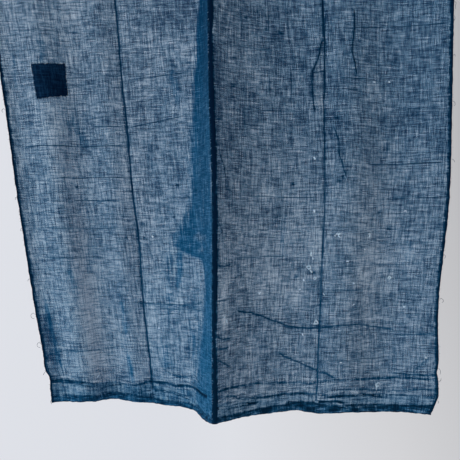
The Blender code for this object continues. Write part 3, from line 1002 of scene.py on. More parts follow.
def mark_edges(sheet, selvedge):
    """Marks the dark selvedge and the top edge."""
    wave = sheet.uneven(0.02, 0.009, 30)
    off = np.abs(sheet.flat - selvedge) / MM
    sheet.mark_most("dark", 0.93 * (1 - soft_step(off + 0.9 * wave, *SELVEDGE_BORDER)))
    sheet.mark_most("dark", 0.6 * (1 - soft_step(sheet.drop_mm, *TOP_EDGE_BORDER)))


def waver_edge(sheet, edge, sign, out, shift):
    """Scallops an outer edge slightly, as its loose selvedge is, and shapes its foot corner."""
    off = sheet.flat - edge
    waves = sum(size * sheet.uneven_down(deep, seed) for size, deep, seed in EDGE_WAVES)
    stand = smooth_table(out, EDGE_COLUMNS, "out", sheet.drop_mm) * MM
    moved = smooth_table(shift, EDGE_COLUMNS, "out", sheet.drop_mm) * MM
    aside = bell(off, EDGE_WAVE_WIDTH) * waves
    aside += bell(off, EDGE_OUT_WIDTH) * stand + bell(off, EDGE_SHIFT_WIDTH) * moved
    sheet.base[..., 0] += sign * aside


# Meshes

def grid_faces(rows, columns):
    corner = np.arange(rows * columns).reshape(rows, columns)
    quads = (corner[:-1, :-1], corner[1:, :-1], corner[1:, 1:], corner[:-1, 1:])
    return np.stack(quads, axis=-1).reshape(-1, 4)


def mesh_object(name, vertices, faces, material):
    mesh = bpy.data.meshes.new(name)
    mesh.from_pydata(vertices, [], faces)
    mesh.materials.append(material)
    mesh.shade_smooth()
    piece = bpy.data.objects.new(name, mesh)
    bpy.context.scene.collection.objects.link(piece)
    return piece


def add_flat_map(mesh, flat, along):
    """Keeps each corner's place on the flat cloth, in metres, as a UV map."""
    layer = mesh.uv_layers.new(name="flat")
    corners = np.empty(len(mesh.loops), dtype=np.int32)
    mesh.loops.foreach_get("vertex_index", corners)
    places = np.column_stack((flat.ravel(), along.ravel()))[corners]
    layer.data.foreach_set("uv", places.astype(np.float32).ravel())


def add_mark(mesh, name, values):
    layer = mesh.attributes.new(name, "FLOAT", "POINT")
    layer.data.foreach_set("value", np.clip(values, 0, 1).astype(np.float32).ravel())


def cloth_piece(name, sheet, material):
    places = sheet.places_now
    rows, columns = places.shape[:2]
    vertices = places.reshape(-1, 3).tolist()
    piece = mesh_object(name, vertices, grid_faces(rows, columns).tolist(), material)
    along = np.broadcast_to(sheet.length_along[:, None], sheet.flat.shape)
    add_flat_map(piece.data, sheet.flat, along)
    for mark, values in sheet.marks.items():
        add_mark(piece.data, mark, values)
    return piece


# Materials

class Nodes:
    """Makes the nodes of one material or world. A value is a number or another node's socket."""

    def __init__(self, owner):
        owner.use_nodes = True
        self.owner = owner
        self.tree = owner.node_tree
        self.tree.nodes.clear()

    def give(self, socket, value):
        if isinstance(value, bpy.types.NodeSocket):
            self.tree.links.new(value, socket)
        else:
            socket.default_value = value

    def math(self, operation, *values, clamp=False):
        node = self.tree.nodes.new("ShaderNodeMath")
        node.operation = operation
        node.use_clamp = clamp
        for socket, value in zip(node.inputs, values):
            self.give(socket, value)
        return node.outputs[0]

    def plus(self, first, second, clamp=False):
        return self.math("ADD", first, second, clamp=clamp)

    def minus(self, first, second):
        return self.math("SUBTRACT", first, second)

    def times(self, first, second):
        return self.math("MULTIPLY", first, second)

    def over(self, first, second):
        return self.math("DIVIDE", first, second)

    def most(self, first, second):
        return self.math("MAXIMUM", first, second)

    def weighed(self, first, first_share, second, second_share):
        return self.plus(self.times(first, first_share), self.times(second, second_share))

    def vector(self, x, y, z):
        node = self.tree.nodes.new("ShaderNodeCombineXYZ")
        for socket, value in zip(node.inputs, (x, y, z)):
            self.give(socket, value)
        return node.outputs[0]

    def split(self, vector):
        node = self.tree.nodes.new("ShaderNodeSeparateXYZ")
        self.give(node.inputs[0], vector)
        return node.outputs

    def noise(self, vector, detail=2.0, roughness=0.5):
        """Smooth noise with features about one unit of the vector wide."""
        node = self.tree.nodes.new("ShaderNodeTexNoise")
        self.give(node.inputs["Vector"], vector)
        node.inputs["Scale"].default_value = 1.0
        node.inputs["Detail"].default_value = detail
        node.inputs["Roughness"].default_value = roughness
        return node.outputs["Fac"]

    def between(self, value, low, high, at_low=0.0, at_high=1.0):
        """The value's share of the way from low to high, carried over to another range."""
        node = self.tree.nodes.new("ShaderNodeMapRange")
        node.clamp = True
        for socket, number in zip(node.inputs, (value, low, high, at_low, at_high)):
            self.give(socket, number)
        return node.outputs[0]

    def blend(self, share, first, second):
        """A colour the share of the way from the first to the second."""
        node = self.tree.nodes.new("ShaderNodeMix")
        node.data_type = "RGBA"
        self.give(node.inputs[0], share)
        self.give(node.inputs[6], first)
        self.give(node.inputs[7], second)
        return node.outputs[2]

    def ramp(self, value, stops):
        node = self.tree.nodes.new("ShaderNodeValToRGB")
        elements = node.color_ramp.elements
        while len(elements) < len(stops):
            elements.new(1.0)
        for element, (place, colour) in zip(elements, stops):
            element.position = place
            element.color = colour
        self.give(node.inputs[0], value)
        return node.outputs[0]

    def mark(self, name):
        node = self.tree.nodes.new("ShaderNodeAttribute")
        node.attribute_name = name
        return node.outputs["Fac"]

    def flat_place(self):
        """Place on the flat cloth in millimetres, across and down."""
        node = self.tree.nodes.new("ShaderNodeUVMap")
        node.uv_map = "flat"
        parts = self.split(node.outputs[0])
        return self.times(parts[0], 1 / MM), self.times(parts[1], 1 / MM)

    def finish(self, colour, roughness, alpha=None, height=None):
        shader = self.tree.nodes.new("ShaderNodeBsdfPrincipled")
        self.give(shader.inputs["Base Color"], colour)
        shader.inputs["Roughness"].default_value = roughness
        shader.inputs["Specular IOR Level"].default_value = FIBRE_SHINE
        if alpha is not None:
            self.give(shader.inputs["Alpha"], alpha)
        if height is not None:
            bump = self.tree.nodes.new("ShaderNodeBump")
            bump.inputs["Strength"].default_value = BUMP_STRENGTH
            bump.inputs["Distance"].default_value = BUMP_HEIGHT
            self.give(bump.inputs["Height"], height)
            self.give(shader.inputs["Normal"], bump.outputs[0])
        output = self.tree.nodes.new("ShaderNodeOutputMaterial")
        self.give(output.inputs[0], shader.outputs[0])
        return self.owner


# Yarns, in millimetres: pitch, and how long and wide the uneven stretches are
WARP_PITCH = 1.16
WEFT_PITCH = 1.20
PATCH_PITCH = 0.85
YARN_STRETCH = 17.0
YARN_SPREAD = 3.71
CLUSTER_WIDTH = 2.3
CLUSTER_STRETCH = 34.0
CLOUD_WIDTH = 26.0
CLOUD_DEPTH = 40.0
HUE_WIDTH = 22.0
HUE_DEPTH = 60.0
WANDER_SIZE = 105.0
WANDER_REACH = 1.9
KEPT_ABOVE_ZERO = 50.0

# Yarns: how uneven their tone is, and half their width as a share of the pitch
YARN_CONTRAST = 5.0
OWN_SHARE = 0.62
THINNEST_HALF = 0.29
THICKEST_HALF = 0.465
CLOSED_BY = 0.26
YARN_BORDER = 0.04
MARK_ON_TONE = 0.5
CLOUD_ON_TONE = 0.10

# Borders of the marks, and how far the yarns make them ragged
ROUGHNESS_OF_DARK = 7.0
RAGGED_BY_WARP = 1.9
RAGGED_BY_WEFT = 0.9
BLUE_BORDER = (0.15, 0.85)
BLUE_START = (0.02, 0.3)

# How blue the cloth is, and at which places down it, in millimetres, this changes
BLUE_CLOUD = (0.42, 0.75, 0.0, 0.45)
BLUE_CLOUD_DROPS = (400.0, 720.0, 0.25, 1.0)
LOW_BLUE_SHARE = 0.62
LOW_BLUE_DROPS = (560.0, 760.0)
HEM_NAVY_DROPS = (500.0, 860.0)
DARK_TURNS_BLUE = (0.05, 0.5)

FIBRE_SHINE = 0.03
BUMP_STRENGTH = 0.6
BUMP_HEIGHT = 0.0002
CLOTH_ROUGHNESS = 0.9
PATCH_ROUGHNESS = 0.92
THREAD_ROUGHNESS = 0.8
THREAD_GRAIN = 400.0

# One set of yarns: index, distance from the yarn's middle, and its two uneven tones
Yarns = namedtuple("Yarns", ("index", "off", "own", "cluster"))


def yarns(nodes, across, along, pitch, seed):
    count = nodes.over(across, pitch)
    index = nodes.math("FLOOR", count)
    off_middle = nodes.math("ABSOLUTE", nodes.minus(nodes.math("FRACT", count), 0.5))
    own_place = nodes.vector(nodes.times(index, YARN_SPREAD), nodes.over(along, YARN_STRETCH), seed)
    own = nodes.noise(own_place, detail=3.0, roughness=0.6)
    cluster_across = nodes.over(across, CLUSTER_WIDTH)
    cluster_along = nodes.over(along, CLUSTER_STRETCH)
    cluster = nodes.noise(nodes.vector(cluster_across, cluster_along, seed + 5.0))
    return Yarns(index, off_middle, own, cluster)


def yarn_weight(nodes, yarn, shift):
    """How thick and well dyed a yarn is at a place, 0 to 1."""
    both = nodes.weighed(yarn.own, OWN_SHARE, yarn.cluster, 1 - OWN_SHARE)
    from_mean = nodes.times(nodes.minus(both, 0.5), YARN_CONTRAST)
    return nodes.plus(nodes.plus(from_mean, 0.5), shift, clamp=True)


def yarn_parity(nodes, warp, weft):
    return nodes.math("FLOORED_MODULO", nodes.plus(warp.index, weft.index), 2.0)


def round_yarns(nodes, warp, weft, warp_top, weft_top):
    """Height of round yarns that pass over and under each other, 0 to 1."""
    heights = [nodes.minus(0.25, nodes.times(yarn.off, yarn.off)) for yarn in (warp, weft)]
    return nodes.times(nodes.weighed(heights[0], warp_top, heights[1], weft_top), 4.0)


def drifting_place(nodes, seed):
    """Flat place in millimetres, bent slightly so that no yarn runs dead straight."""
    u, v = nodes.flat_place()
    drift = nodes.tree.nodes.new("ShaderNodeTexNoise")
    place = nodes.vector(nodes.over(u, WANDER_SIZE), nodes.over(v, WANDER_SIZE), seed)
    nodes.give(drift.inputs["Vector"], place)
    drift.inputs["Scale"].default_value = 1.0
    drift.inputs["Detail"].default_value = 1.0
    places = []
    for flat, shift in zip((u, v), nodes.split(drift.outputs["Color"])):
        moved = nodes.plus(flat, nodes.times(nodes.minus(shift, 0.5), WANDER_REACH))
        places.append(nodes.plus(moved, KEPT_ABOVE_ZERO))
    return places


def cloud_over(nodes, u, v, across, down, seed):
    """Tone that changes slowly over the cloth, with patches of the given size in millimetres."""
    return nodes.noise(nodes.vector(nodes.over(u, across), nodes.over(v, down), seed), detail=3.0)


def dark_places(nodes, warp, weft):
    """How dark the cloth is marked: with a rough border, yarn by yarn, or as a crisp line."""
    off_line = nodes.math("ABSOLUTE", nodes.minus(nodes.mark("line_side"), 0.5))
    off_line = nodes.times(off_line, 2 * LINE_REACH)
    line = nodes.times(nodes.between(off_line, *LINE_BORDER, 1.0, 0.0), nodes.mark("line"))
    dark = nodes.mark("dark")
    rough = nodes.minus(nodes.plus(warp.own, weft.own), 1.0)
    border = nodes.times(dark, nodes.minus(1.0, dark))
    rough = nodes.times(nodes.times(rough, border), ROUGHNESS_OF_DARK)
    return nodes.most(nodes.plus(dark, rough, clamp=True), line)


def blue_places(nodes, warp, weft):
    """How blue the cloth is marked, with a ragged border that follows the warp."""
    blue = nodes.mark("blue")
    ragged = nodes.times(nodes.minus(warp.cluster, 0.5), RAGGED_BY_WARP)
    crossing = nodes.times(nodes.minus(weft.own, 0.5), RAGGED_BY_WEFT)
    share = nodes.between(nodes.plus(blue, nodes.plus(ragged, crossing)), *BLUE_BORDER)
    return nodes.times(share, nodes.between(blue, *BLUE_START))


def tone_shift(nodes, cloud):
    """Thicker and darker yarns in the shaded places, thinner and paler ones in the pale places. These marks
    carry painted shade and painted light as well as the cloth's own patchy tone.
    """
    shift = nodes.between(cloud, 0.3, 0.7, -CLOUD_ON_TONE, CLOUD_ON_TONE)
    shift = nodes.plus(shift, nodes.times(nodes.mark("shade"), MARK_ON_TONE))
    return nodes.minus(shift, nodes.times(nodes.mark("pale"), MARK_ON_TONE))


def yarn_cover(nodes, yarn, weight, closing):
    """Whether a yarn covers a place, 0 to 1, with the gaps closed where the cloth is marked."""
    half = nodes.plus(nodes.between(weight, 0.0, 1.0, THINNEST_HALF, THICKEST_HALF), closing)
    return nodes.between(nodes.minus(half, yarn.off), -YARN_BORDER, YARN_BORDER)


def yarn_colour(nodes, tone, v, hue, blue_share, dark, stops, hem_navy):
    """Colour of the cloth: faded grey, plain, deep blue, or navy where it is marked dark. The blue and dark
    marks carry painted light and painted shade as well as the cloth's own colour.
    """
    lighter = nodes.blend(LOW_BLUE_SHARE, nodes.ramp(tone, BLUE_STOPS), nodes.ramp(tone, LOW_BLUE_STOPS))
    blue = nodes.blend(nodes.between(v, *LOW_BLUE_DROPS), nodes.ramp(tone, BLUE_STOPS), lighter)
    cloud = nodes.times(nodes.between(hue, *BLUE_CLOUD), nodes.between(v, *BLUE_CLOUD_DROPS))
    bluer = nodes.most(nodes.most(blue_share, cloud), nodes.between(dark, *DARK_TURNS_BLUE))
    plain = nodes.blend(nodes.mark("grey"), nodes.ramp(tone, stops), nodes.ramp(tone, GREY_STOPS))
    deep = nodes.blend(nodes.between(v, *HEM_NAVY_DROPS), SEAM_NAVY, hem_navy)
    return nodes.blend(dark, nodes.blend(bluer, plain, blue), deep)


def cloth_material(name, stops, hem_navy, seed):
    """Sheer plain weave of uneven indigo yarns, closed and darker where the cloth is marked."""
    nodes = Nodes(bpy.data.materials.new(name))
    u, v = drifting_place(nodes, seed)
    cloud = cloud_over(nodes, u, v, CLOUD_WIDTH, CLOUD_DEPTH, seed + 3.0)
    hue = cloud_over(nodes, u, v, HUE_WIDTH, HUE_DEPTH, seed + 8.0)
    warp = yarns(nodes, u, v, WARP_PITCH, seed + 1.0)
    weft = yarns(nodes, v, u, WEFT_PITCH, seed + 2.0)
    dark = dark_places(nodes, warp, weft)
    blue_share = blue_places(nodes, warp, weft)
    shift = tone_shift(nodes, cloud)
    warp_weight = yarn_weight(nodes, warp, shift)
    weft_weight = yarn_weight(nodes, weft, shift)
    closing = nodes.times(nodes.most(blue_share, nodes.between(dark, 0.0, 0.5)), CLOSED_BY)
    warp_cover = yarn_cover(nodes, warp, warp_weight, closing)
    weft_cover = yarn_cover(nodes, weft, weft_weight, closing)
    over = nodes.most(yarn_parity(nodes, warp, weft), nodes.minus(1.0, weft_cover))
    warp_top = nodes.times(warp_cover, over)
    weft_top = nodes.minus(1.0, warp_top)
    tone = nodes.weighed(warp_weight, warp_top, weft_weight, weft_top)
    colour = yarn_colour(nodes, tone, v, hue, blue_share, dark, stops, hem_navy)
    height = round_yarns(nodes, warp, weft, warp_top, weft_top)
    return nodes.finish(colour, CLOTH_ROUGHNESS, nodes.most(warp_cover, weft_cover), height)


# Colours of the yarns from thin and pale to thick and well dyed
LEFT_STOPS = (
    (0.00, (0.305, 0.485, 0.640, 1)),
    (0.30, (0.138, 0.290, 0.436, 1)),
    (0.65, (0.043, 0.147, 0.270, 1)),
    (1.00, (0.010, 0.046, 0.112, 1)),
)
RIGHT_STOPS = (
    (0.00, (0.318, 0.490, 0.655, 1)),
    (0.30, (0.142, 0.287, 0.432, 1)),
    (0.65, (0.044, 0.137, 0.250, 1)),
    (1.00, (0.006, 0.036, 0.092, 1)),
)
GREY_STOPS = (
    (0.00, (0.392, 0.508, 0.625, 1)),
    (0.30, (0.178, 0.290, 0.405, 1)),
    (0.65, (0.062, 0.144, 0.238, 1)),
    (1.00, (0.014, 0.043, 0.097, 1)),
)
# Deep blue of the marked places, on the flank beside the seam partly painted light
BLUE_STOPS = (
    (0.00, (0.060, 0.190, 0.345, 1)),
    (0.45, (0.0125, 0.094, 0.200, 1)),
    (1.00, (0.0025, 0.040, 0.100, 1)),
)
LOW_BLUE_STOPS = (
    (0.00, (0.070, 0.270, 0.500, 1)),
    (0.45, (0.014, 0.150, 0.310, 1)),
    (1.00, (0.004, 0.066, 0.165, 1)),
)
PATCH_STOPS = (
    (0.00, (0.0080, 0.0420, 0.1000, 1)),
    (0.45, (0.0016, 0.0150, 0.0460, 1)),
    (1.00, (0.0004, 0.0050, 0.0180, 1)),
)
SEAM_NAVY = (0.0008, 0.0105, 0.0330, 1)
LEFT_HEM_NAVY = (0.0014, 0.0240, 0.0640, 1)
RIGHT_HEM_NAVY = (0.0012, 0.0180, 0.0460, 1)

# Threads and fibres: their light and dark colour
PALE_THREAD = ((0.26, 0.40, 0.55, 1), (0.09, 0.19, 0.34, 1))
BLUE_THREAD = ((0.020, 0.070, 0.150, 1), (0.004, 0.018, 0.05, 1))
LINT_FIBRE = ((0.74, 0.90, 1.00, 1), (0.48, 0.68, 0.84, 1))


def navy_material():
    """Dense dark plain weave of the patch."""
    nodes = Nodes(bpy.data.materials.new("patch_navy"))
    u, v = nodes.flat_place()
    warp = yarns(nodes, u, v, PATCH_PITCH, 31.0)
    weft = yarns(nodes, v, u, PATCH_PITCH, 32.0)
    warp_top = yarn_parity(nodes, warp, weft)
    weft_top = nodes.minus(1.0, warp_top)
    warp_weight = yarn_weight(nodes, warp, 0.0)
    weft_weight = yarn_weight(nodes, weft, 0.0)
    tone = nodes.weighed(warp_weight, warp_top, weft_weight, weft_top)
    height = round_yarns(nodes, warp, weft, warp_top, weft_top)
    return nodes.finish(nodes.ramp(tone, PATCH_STOPS), PATCH_ROUGHNESS, height=height)


def thread_material(name, colours):
    """Fibre or thread with a slight change of tone from place to place."""
    light, dark = colours
    nodes = Nodes(bpy.data.materials.new(name))
    place = nodes.tree.nodes.new("ShaderNodeTexCoord")
    scaled = nodes.tree.nodes.new("ShaderNodeVectorMath")
    scaled.operation = "SCALE"
    nodes.give(scaled.inputs[0], place.outputs["Object"])
    scaled.inputs["Scale"].default_value = THREAD_GRAIN
    tone = nodes.noise(scaled.outputs[0], detail=1.0)
    return nodes.finish(nodes.blend(nodes.between(tone, 0.35, 0.65), dark, light), THREAD_ROUGHNESS)


# Threads and fibres as joined tubes

class Tubes:
    """Collects many thin tubes into one mesh."""

    def __init__(self):
        self.vertices = []
        self.faces = []

    def add(self, points, radius, sides=5):
        """A tube through the points, with tapered ends."""
        points = np.array(points, dtype=float)
        ahead = np.gradient(points, axis=0)
        ahead /= np.linalg.norm(ahead, axis=1, keepdims=True)
        aside = np.cross(ahead, (0.31, 0.87, 0.38))
        aside /= np.linalg.norm(aside, axis=1, keepdims=True)
        other = np.cross(ahead, aside)
        first = len(self.vertices)
        count = len(points)
        for i, point in enumerate(points):
            size = radius * (0.35 if i in (0, count - 1) else 1.0)
            for k in range(sides):
                turn = 2 * math.pi * k / sides
                ring = math.cos(turn) * aside[i] + math.sin(turn) * other[i]
                self.vertices.append(tuple(point + size * ring))
        for i in range(count - 1):
            for k in range(sides):
                a = first + i * sides + k
                b = first + i * sides + (k + 1) % sides
                self.faces.append((a, b, b + sides, a + sides))
        self.faces.append(tuple(first + k for k in reversed(range(sides))))
        last = first + (count - 1) * sides
        self.faces.append(tuple(last + k for k in range(sides)))

    def piece(self, name, material):
        return mesh_object(name, self.vertices, self.faces, material)


# Whip stitches of the seam: pitch, reach to each side of the lap's free edge, and thickness
STITCH_PITCH = 0.0031
STITCH_LEFT = 0.0013
STITCH_RIGHT = 0.0011
STITCH_SLANT = 0.0008
STITCH_RADIUS = 0.00036


def seam_stitches(left, right, seed, chosen):
    """Whip stitches over the free edge of the lap, where chosen(drop, draw) says so."""
    tubes = Tubes()
    draw = random.Random(seed)
    count = int(0.795 / STITCH_PITCH)
    for i in range(count):
        drop = 0.003 + i * STITCH_PITCH + draw.uniform(-0.0006, 0.0006)
        slant = STITCH_SLANT * draw.uniform(0.5, 1.5)
        reach = draw.uniform(0.7, 1.3)
        share = draw.random()
        if not chosen(drop, share):
            continue
        corner = LEFT_WIDTH - SEAM_UNDERLAP
        outer, _ = left.at(corner - STITCH_LEFT * reach, drop + slant, 0.0001)
        top, _ = right.at(0.0002, drop + slant * 0.4, 0.0006)
        inner, _ = right.at(STITCH_RIGHT * reach, drop - slant * 0.4, 0.0002)
        tubes.add((outer, (outer + top) / 2 - (0, 0.0003, 0), top, inner), STITCH_RADIUS)
    return tubes


def pale_stitch(drop, share):
    """Whether a seam stitch shows pale: nearly all low down, and fewer higher up."""
    if 0.700 < drop < 0.775:
        return share < 0.70
    if 0.400 < drop < 0.560:
        return share < 0.34
    return share < 0.20


# Rows of running stitches: side, seed, height above the foot, and where each starts and ends
HEM_STITCHES_BLUE = (
    ("left", 21, 0.0215, 0.004, 0.336),
    ("right", 22, 0.0215, 0.030, 0.346),
    ("left", 23, 0.0074, 0.004, 0.336),
    ("right", 24, 0.0080, 0.036, 0.346),
)
HEM_STITCHES_PALE = (("right", 25, 0.0095, 0.008, 0.034),)


def hem_stitches(sheet, seed, height, start, end, tubes):
    """Running stitches along the hem at a height above the foot."""
    draw = random.Random(seed)
    flat = start
    while flat < end:
        long = draw.uniform(0.0018, 0.0030)
        foot = float(np.interp(flat, sheet.columns, sheet.foot))
        drop = foot - height + draw.uniform(-0.0005, 0.0005)
        a, _ = sheet.at(flat, drop, 0.0001)
        b, _ = sheet.at(flat + long / 2, drop + draw.uniform(-0.0002, 0.0002), 0.0004)
        c, _ = sheet.at(flat + long, drop, 0.0001)
        tubes.add((a, b, c), 0.0002)
        flat += long + draw.uniform(0.0016, 0.0030)


# Loose yarn ends at the outer edges: side, drop and the way each runs, in millimetres
LOOSE_ENDS = (
    ("left", 404, ((0, 0), (-2.6, -1.0), (-4.6, 1.6), (-3.0, 4.0))),
    ("left", 519, ((0, 0), (-1.8, 1.6), (-1.6, 4.2))),
    ("left", 676, ((0, 0), (-3.4, -2.0), (-6.4, 0.6), (-5.2, 4.2), (-1.4, 5.2))),
    ("left", 716, ((0, 0), (-3.0, -2.6), (-5.6, -0.6), (-5.0, 3.2), (-1.0, 4.0))),
    ("left", 752, ((0, 0), (-2.2, 2.4), (-3.6, 5.2))),
    ("left", 790, ((0, 0), (-1.2, 3.0), (0.8, 6.0))),
    ("left", 560, ((0, 0), (-1.6, 2.6), (-0.6, 5.0))),
    ("left", 628, ((0, 0), (-2.0, 1.0), (-2.8, 3.6))),
    ("right", 266, ((0, 0), (2.2, 2.0), (1.2, 6.0), (2.4, 10.0))),
    ("right", 284, ((0, 0), (1.6, 3.0), (0.4, 7.0))),
    ("right", 336, ((0, 0), (2.0, -1.6), (3.0, 1.2))),
    ("right", 395, ((0, 0), (2.6, 1.0), (3.4, 4.6), (1.6, 6.4))),
    ("right", 470, ((0, 0), (3.2, 1.8), (4.6, 4.8))),
    ("right", 595, ((0, 0), (2.4, 2.0), (1.4, 5.4))),
    ("right", 652, ((0, 0), (3.8, 0.8), (5.4, 3.8), (3.4, 6.0))),
    ("right", 744, ((0, 0), (2.4, 1.4), (3.2, 4.8), (2.4, 8.0))),
    ("right", 762, ((0, 0), (2.6, -2.4), (3.6, -5.4))),
    ("right", 786, ((0, 0), (2.2, 1.2), (1.4, 4.2))),
    ("right", 798, ((0, 0), (-1.4, 2.6), (-3.4, 4.4))),
)
FUZZ_COUNT = 150
LOOSE_RADIUS = 0.00024
FUZZ_RADIUS = 0.00011


def smooth_path(points, steps):
    """A smooth line through the points, as steps between each two of them."""
    points = np.array(points, dtype=float)
    place = np.arange(len(points), dtype=float)
    slope = np.gradient(points, axis=0)
    path = []
    for at in np.linspace(0, len(points) - 1, steps * (len(points) - 1) + 1):
        i = min(int(at), len(points) - 2)
        t = at - place[i]
        rise = points[i + 1] - points[i]
        bow = slope[i] * (1 - t) - slope[i + 1] * t
        path.append(points[i] + rise * t * t * (3 - 2 * t) + t * (1 - t) * bow)
    return path


def loose_ends(sheet, side, seed, foot):
    """Loose yarn ends and short fuzz along the outer edge of one width."""
    tubes = Tubes()
    draw = random.Random(seed)
    flat = 0.0 if side == "left" else RIGHT_WIDTH
    outward = -1 if side == "left" else 1
    for which, drop, way in LOOSE_ENDS:
        if which != side:
            continue
        start, _ = sheet.at(flat, drop * MM)
        points = []
        for across, down in way:
            bow = draw.uniform(-1.0, 0.6)
            points.append(start + np.array((across, bow, -down)) * MM)
        tubes.add(smooth_path(points, 4), LOOSE_RADIUS, 4)
    for _ in range(FUZZ_COUNT):
        start, _ = sheet.at(flat, draw.uniform(0.004, foot))
        long = draw.uniform(0.8, 2.4) * MM
        lean = draw.uniform(-1.2, 1.2)
        tip = start + long * np.array((outward * math.cos(lean), draw.uniform(-0.4, 0.4), math.sin(lean)))
        middle = (start + tip) / 2 + np.array((0, 0, draw.uniform(-0.4, 0.4))) * MM
        tubes.add((start - 0.2 * (tip - start), middle, tip), FUZZ_RADIUS, 3)
    return tubes


# Lint caught on the cloth: flat place in millimetres, and the fibre's way from there
RIGHT_LINT = (
    (245.9, 370, ((-1.5, 0), (0, -0.6), (1.6, 0.2))),
    (268.4, 368, ((-1, 0), (1, 0.6))),
    (160.7, 470, ((-0.6, -1.2), (0.4, 0), (0.8, 1.4))),
    (161.2, 538, ((0, -1.6), (0.6, 0.4), (0.2, 1.8))),
    (293.4, 538, ((-1.4, 0.4), (0.4, -0.4), (1.6, 0.2))),
    (193.8, 568, ((-2.6, 1.2), (-0.6, -0.8), (1.2, 0.6), (2.8, -1.2))),
    (195.4, 571, ((-1.4, -1.6), (0.2, 0.8), (1.8, 1.2))),
    (190.6, 570, ((-0.8, 0.6), (0.6, 0.2))),
    (242.8, 570, ((-1.2, -2.4), (1.0, -1.4), (0.8, 1.2), (-0.8, 2.2))),
    (160.2, 594, ((0.4, -2.4), (-0.4, 0.4), (0.8, 2.6))),
    (163.2, 600, ((-0.4, -1.4), (0.4, 1.4))),
    (208.3, 604, ((-1.6, 0.6), (0, -0.6), (1.6, 0.4))),
    (158.7, 612, ((-2.0, -1.6), (0.6, -2.2), (1.8, 0.2), (-0.4, 1.8), (-2.0, 0.4))),
    (162.0, 616, ((-1.6, -0.8), (0.2, 0.6), (1.6, 2.0))),
    (156.0, 610, ((-0.6, 1.8), (0.8, -0.8))),
    (167.2, 626, ((-1.8, 0.2), (-0.2, -1.8), (1.6, -0.4), (0.4, 1.6), (-1.2, 1.2))),
    (153.2, 628, ((-1.2, -1.0), (0.8, 1.0))),
    (219.3, 632, ((-1.4, 0.6), (0.2, -0.6), (1.6, 0.8))),
    (280.9, 626, ((-1.8, 1.0), (0, -1.8), (1.8, -0.2), (0.6, 1.6), (-0.6, 1.2))),
    (92.1, 644, ((-1.6, -1.4), (0, 1.4), (1.4, -1.6))),
    (180.3, 646, ((-0.8, -0.8), (0.8, 1.0))),
    (221.8, 660, ((-1.2, 0.4), (1.2, -0.4))),
    (303.4, 664, ((-1.6, -0.6), (0.2, 0.6), (1.4, -0.6))),
    (171.2, 682, ((-2.2, 2.0), (0, -2.2), (2.4, 2.0), (-1.8, 2.2))),
    (169.4, 684, ((-1.2, 0.2), (1.4, 0.6))),
    (154.7, 698, ((-0.6, -1.6), (0.4, 1.6))),
    (206.8, 734, ((-1.4, 0), (1.4, 0.4))),
    (334.0, 730, ((-1.0, -1.0), (0.8, 1.2))),
    (267.9, 768, ((-2.0, -3.6), (-1.4, 0.2), (0.4, 1.2), (1.8, -0.6))),
    (268.6, 765, ((-1.8, 0.4), (0.2, -0.8), (2.2, -0.2))),
    (266.8, 771, ((-0.2, -1.8), (0.2, 2.2))),
    (148.0, 640, ((-0.6, 0.6), (0.8, -0.4))),
    (29.5, 676, ((-1.6, -2.0), (0.2, 0.4), (1.4, 2.6))),
    (24.0, 671, ((-0.8, 0.6), (0.8, -0.6))),
    (236.0, 588, ((-0.8, -0.4), (0.6, 0.6))),
)
LEFT_LINT = (
    (194.2, 572, ((-0.8, -0.8), (0.8, 1.0))),
    (189.7, 694, ((-1.0, 0.4), (1.0, -0.6))),
    (81.4, 759, ((-2.4, 1.0), (0.4, -0.6), (2.6, -1.2))),
)
LINT_RADIUS = 0.00042
LINT_FIBRES = 5


def lint(sheet, specks, seed, tubes):
    """Tufts of a few fibres, each near the way that the tuft takes."""
    draw = random.Random(seed)
    for flat, drop, way in specks:
        for _ in range(LINT_FIBRES):
            aside = draw.uniform(-0.7, 0.7)
            along = draw.uniform(-0.7, 0.7)
            points = []
            for across, down in way:
                lift = draw.uniform(0.0004, 0.0010)
                place = (flat + across + aside + draw.uniform(-0.4, 0.4)) * MM
                point, _ = sheet.at(place, (drop + down + along + draw.uniform(-0.4, 0.4)) * MM, lift)
                points.append(point)
            tubes.add(smooth_path(points, 3), LINT_RADIUS * draw.uniform(0.6, 1.2), 4)


# The patch
PATCH_CELLS = 40
PATCH_LIFT = 0.0012
PATCH_EDGE_RAG = 0.0009


def patch_place(s, t):
    """Flat place on the left width of a place on the patch."""
    top = (1 - s) * np.array(PATCH_TOP_LEFT) + s * np.array(PATCH_TOP_RIGHT)
    bottom = (1 - s) * np.array(PATCH_BOTTOM_LEFT) + s * np.array(PATCH_BOTTOM_RIGHT)
    return (1 - t) * top + t * bottom


def patch_piece(sheet, material):
    side = PATCH_CELLS + 1
    vertices = []
    flat = np.zeros((side, side))
    down = np.zeros((side, side))
    for row in range(side):
        for column in range(side):
            s = column / PATCH_CELLS
            t = row / PATCH_CELLS
            place = patch_place(s, t)
            rag = 2 * noise.noise((s * 14.0, t * 14.0, 5.0)) * PATCH_EDGE_RAG
            place[0] += rag * (2 * s - 1) ** 3
            place[1] += rag * (2 * t - 1) ** 3
            near_edge = min(s, t, 1 - s, 1 - t)
            swell = 0.0004 * math.sqrt(min(near_edge * 6, 1.0))
            bumpy = 0.0003 * noise.noise((s * 5.0, t * 6.0, 9.0))
            point, _ = sheet.at(place[0], place[1], PATCH_LIFT - 0.0006 + swell + bumpy)
            vertices.append(tuple(point))
            flat[row, column] = place[0]
            down[row, column] = place[1]
    piece = mesh_object("patch_cloth", vertices, grid_faces(side, side).tolist(), material)
    add_flat_map(piece.data, flat, down)
    return piece


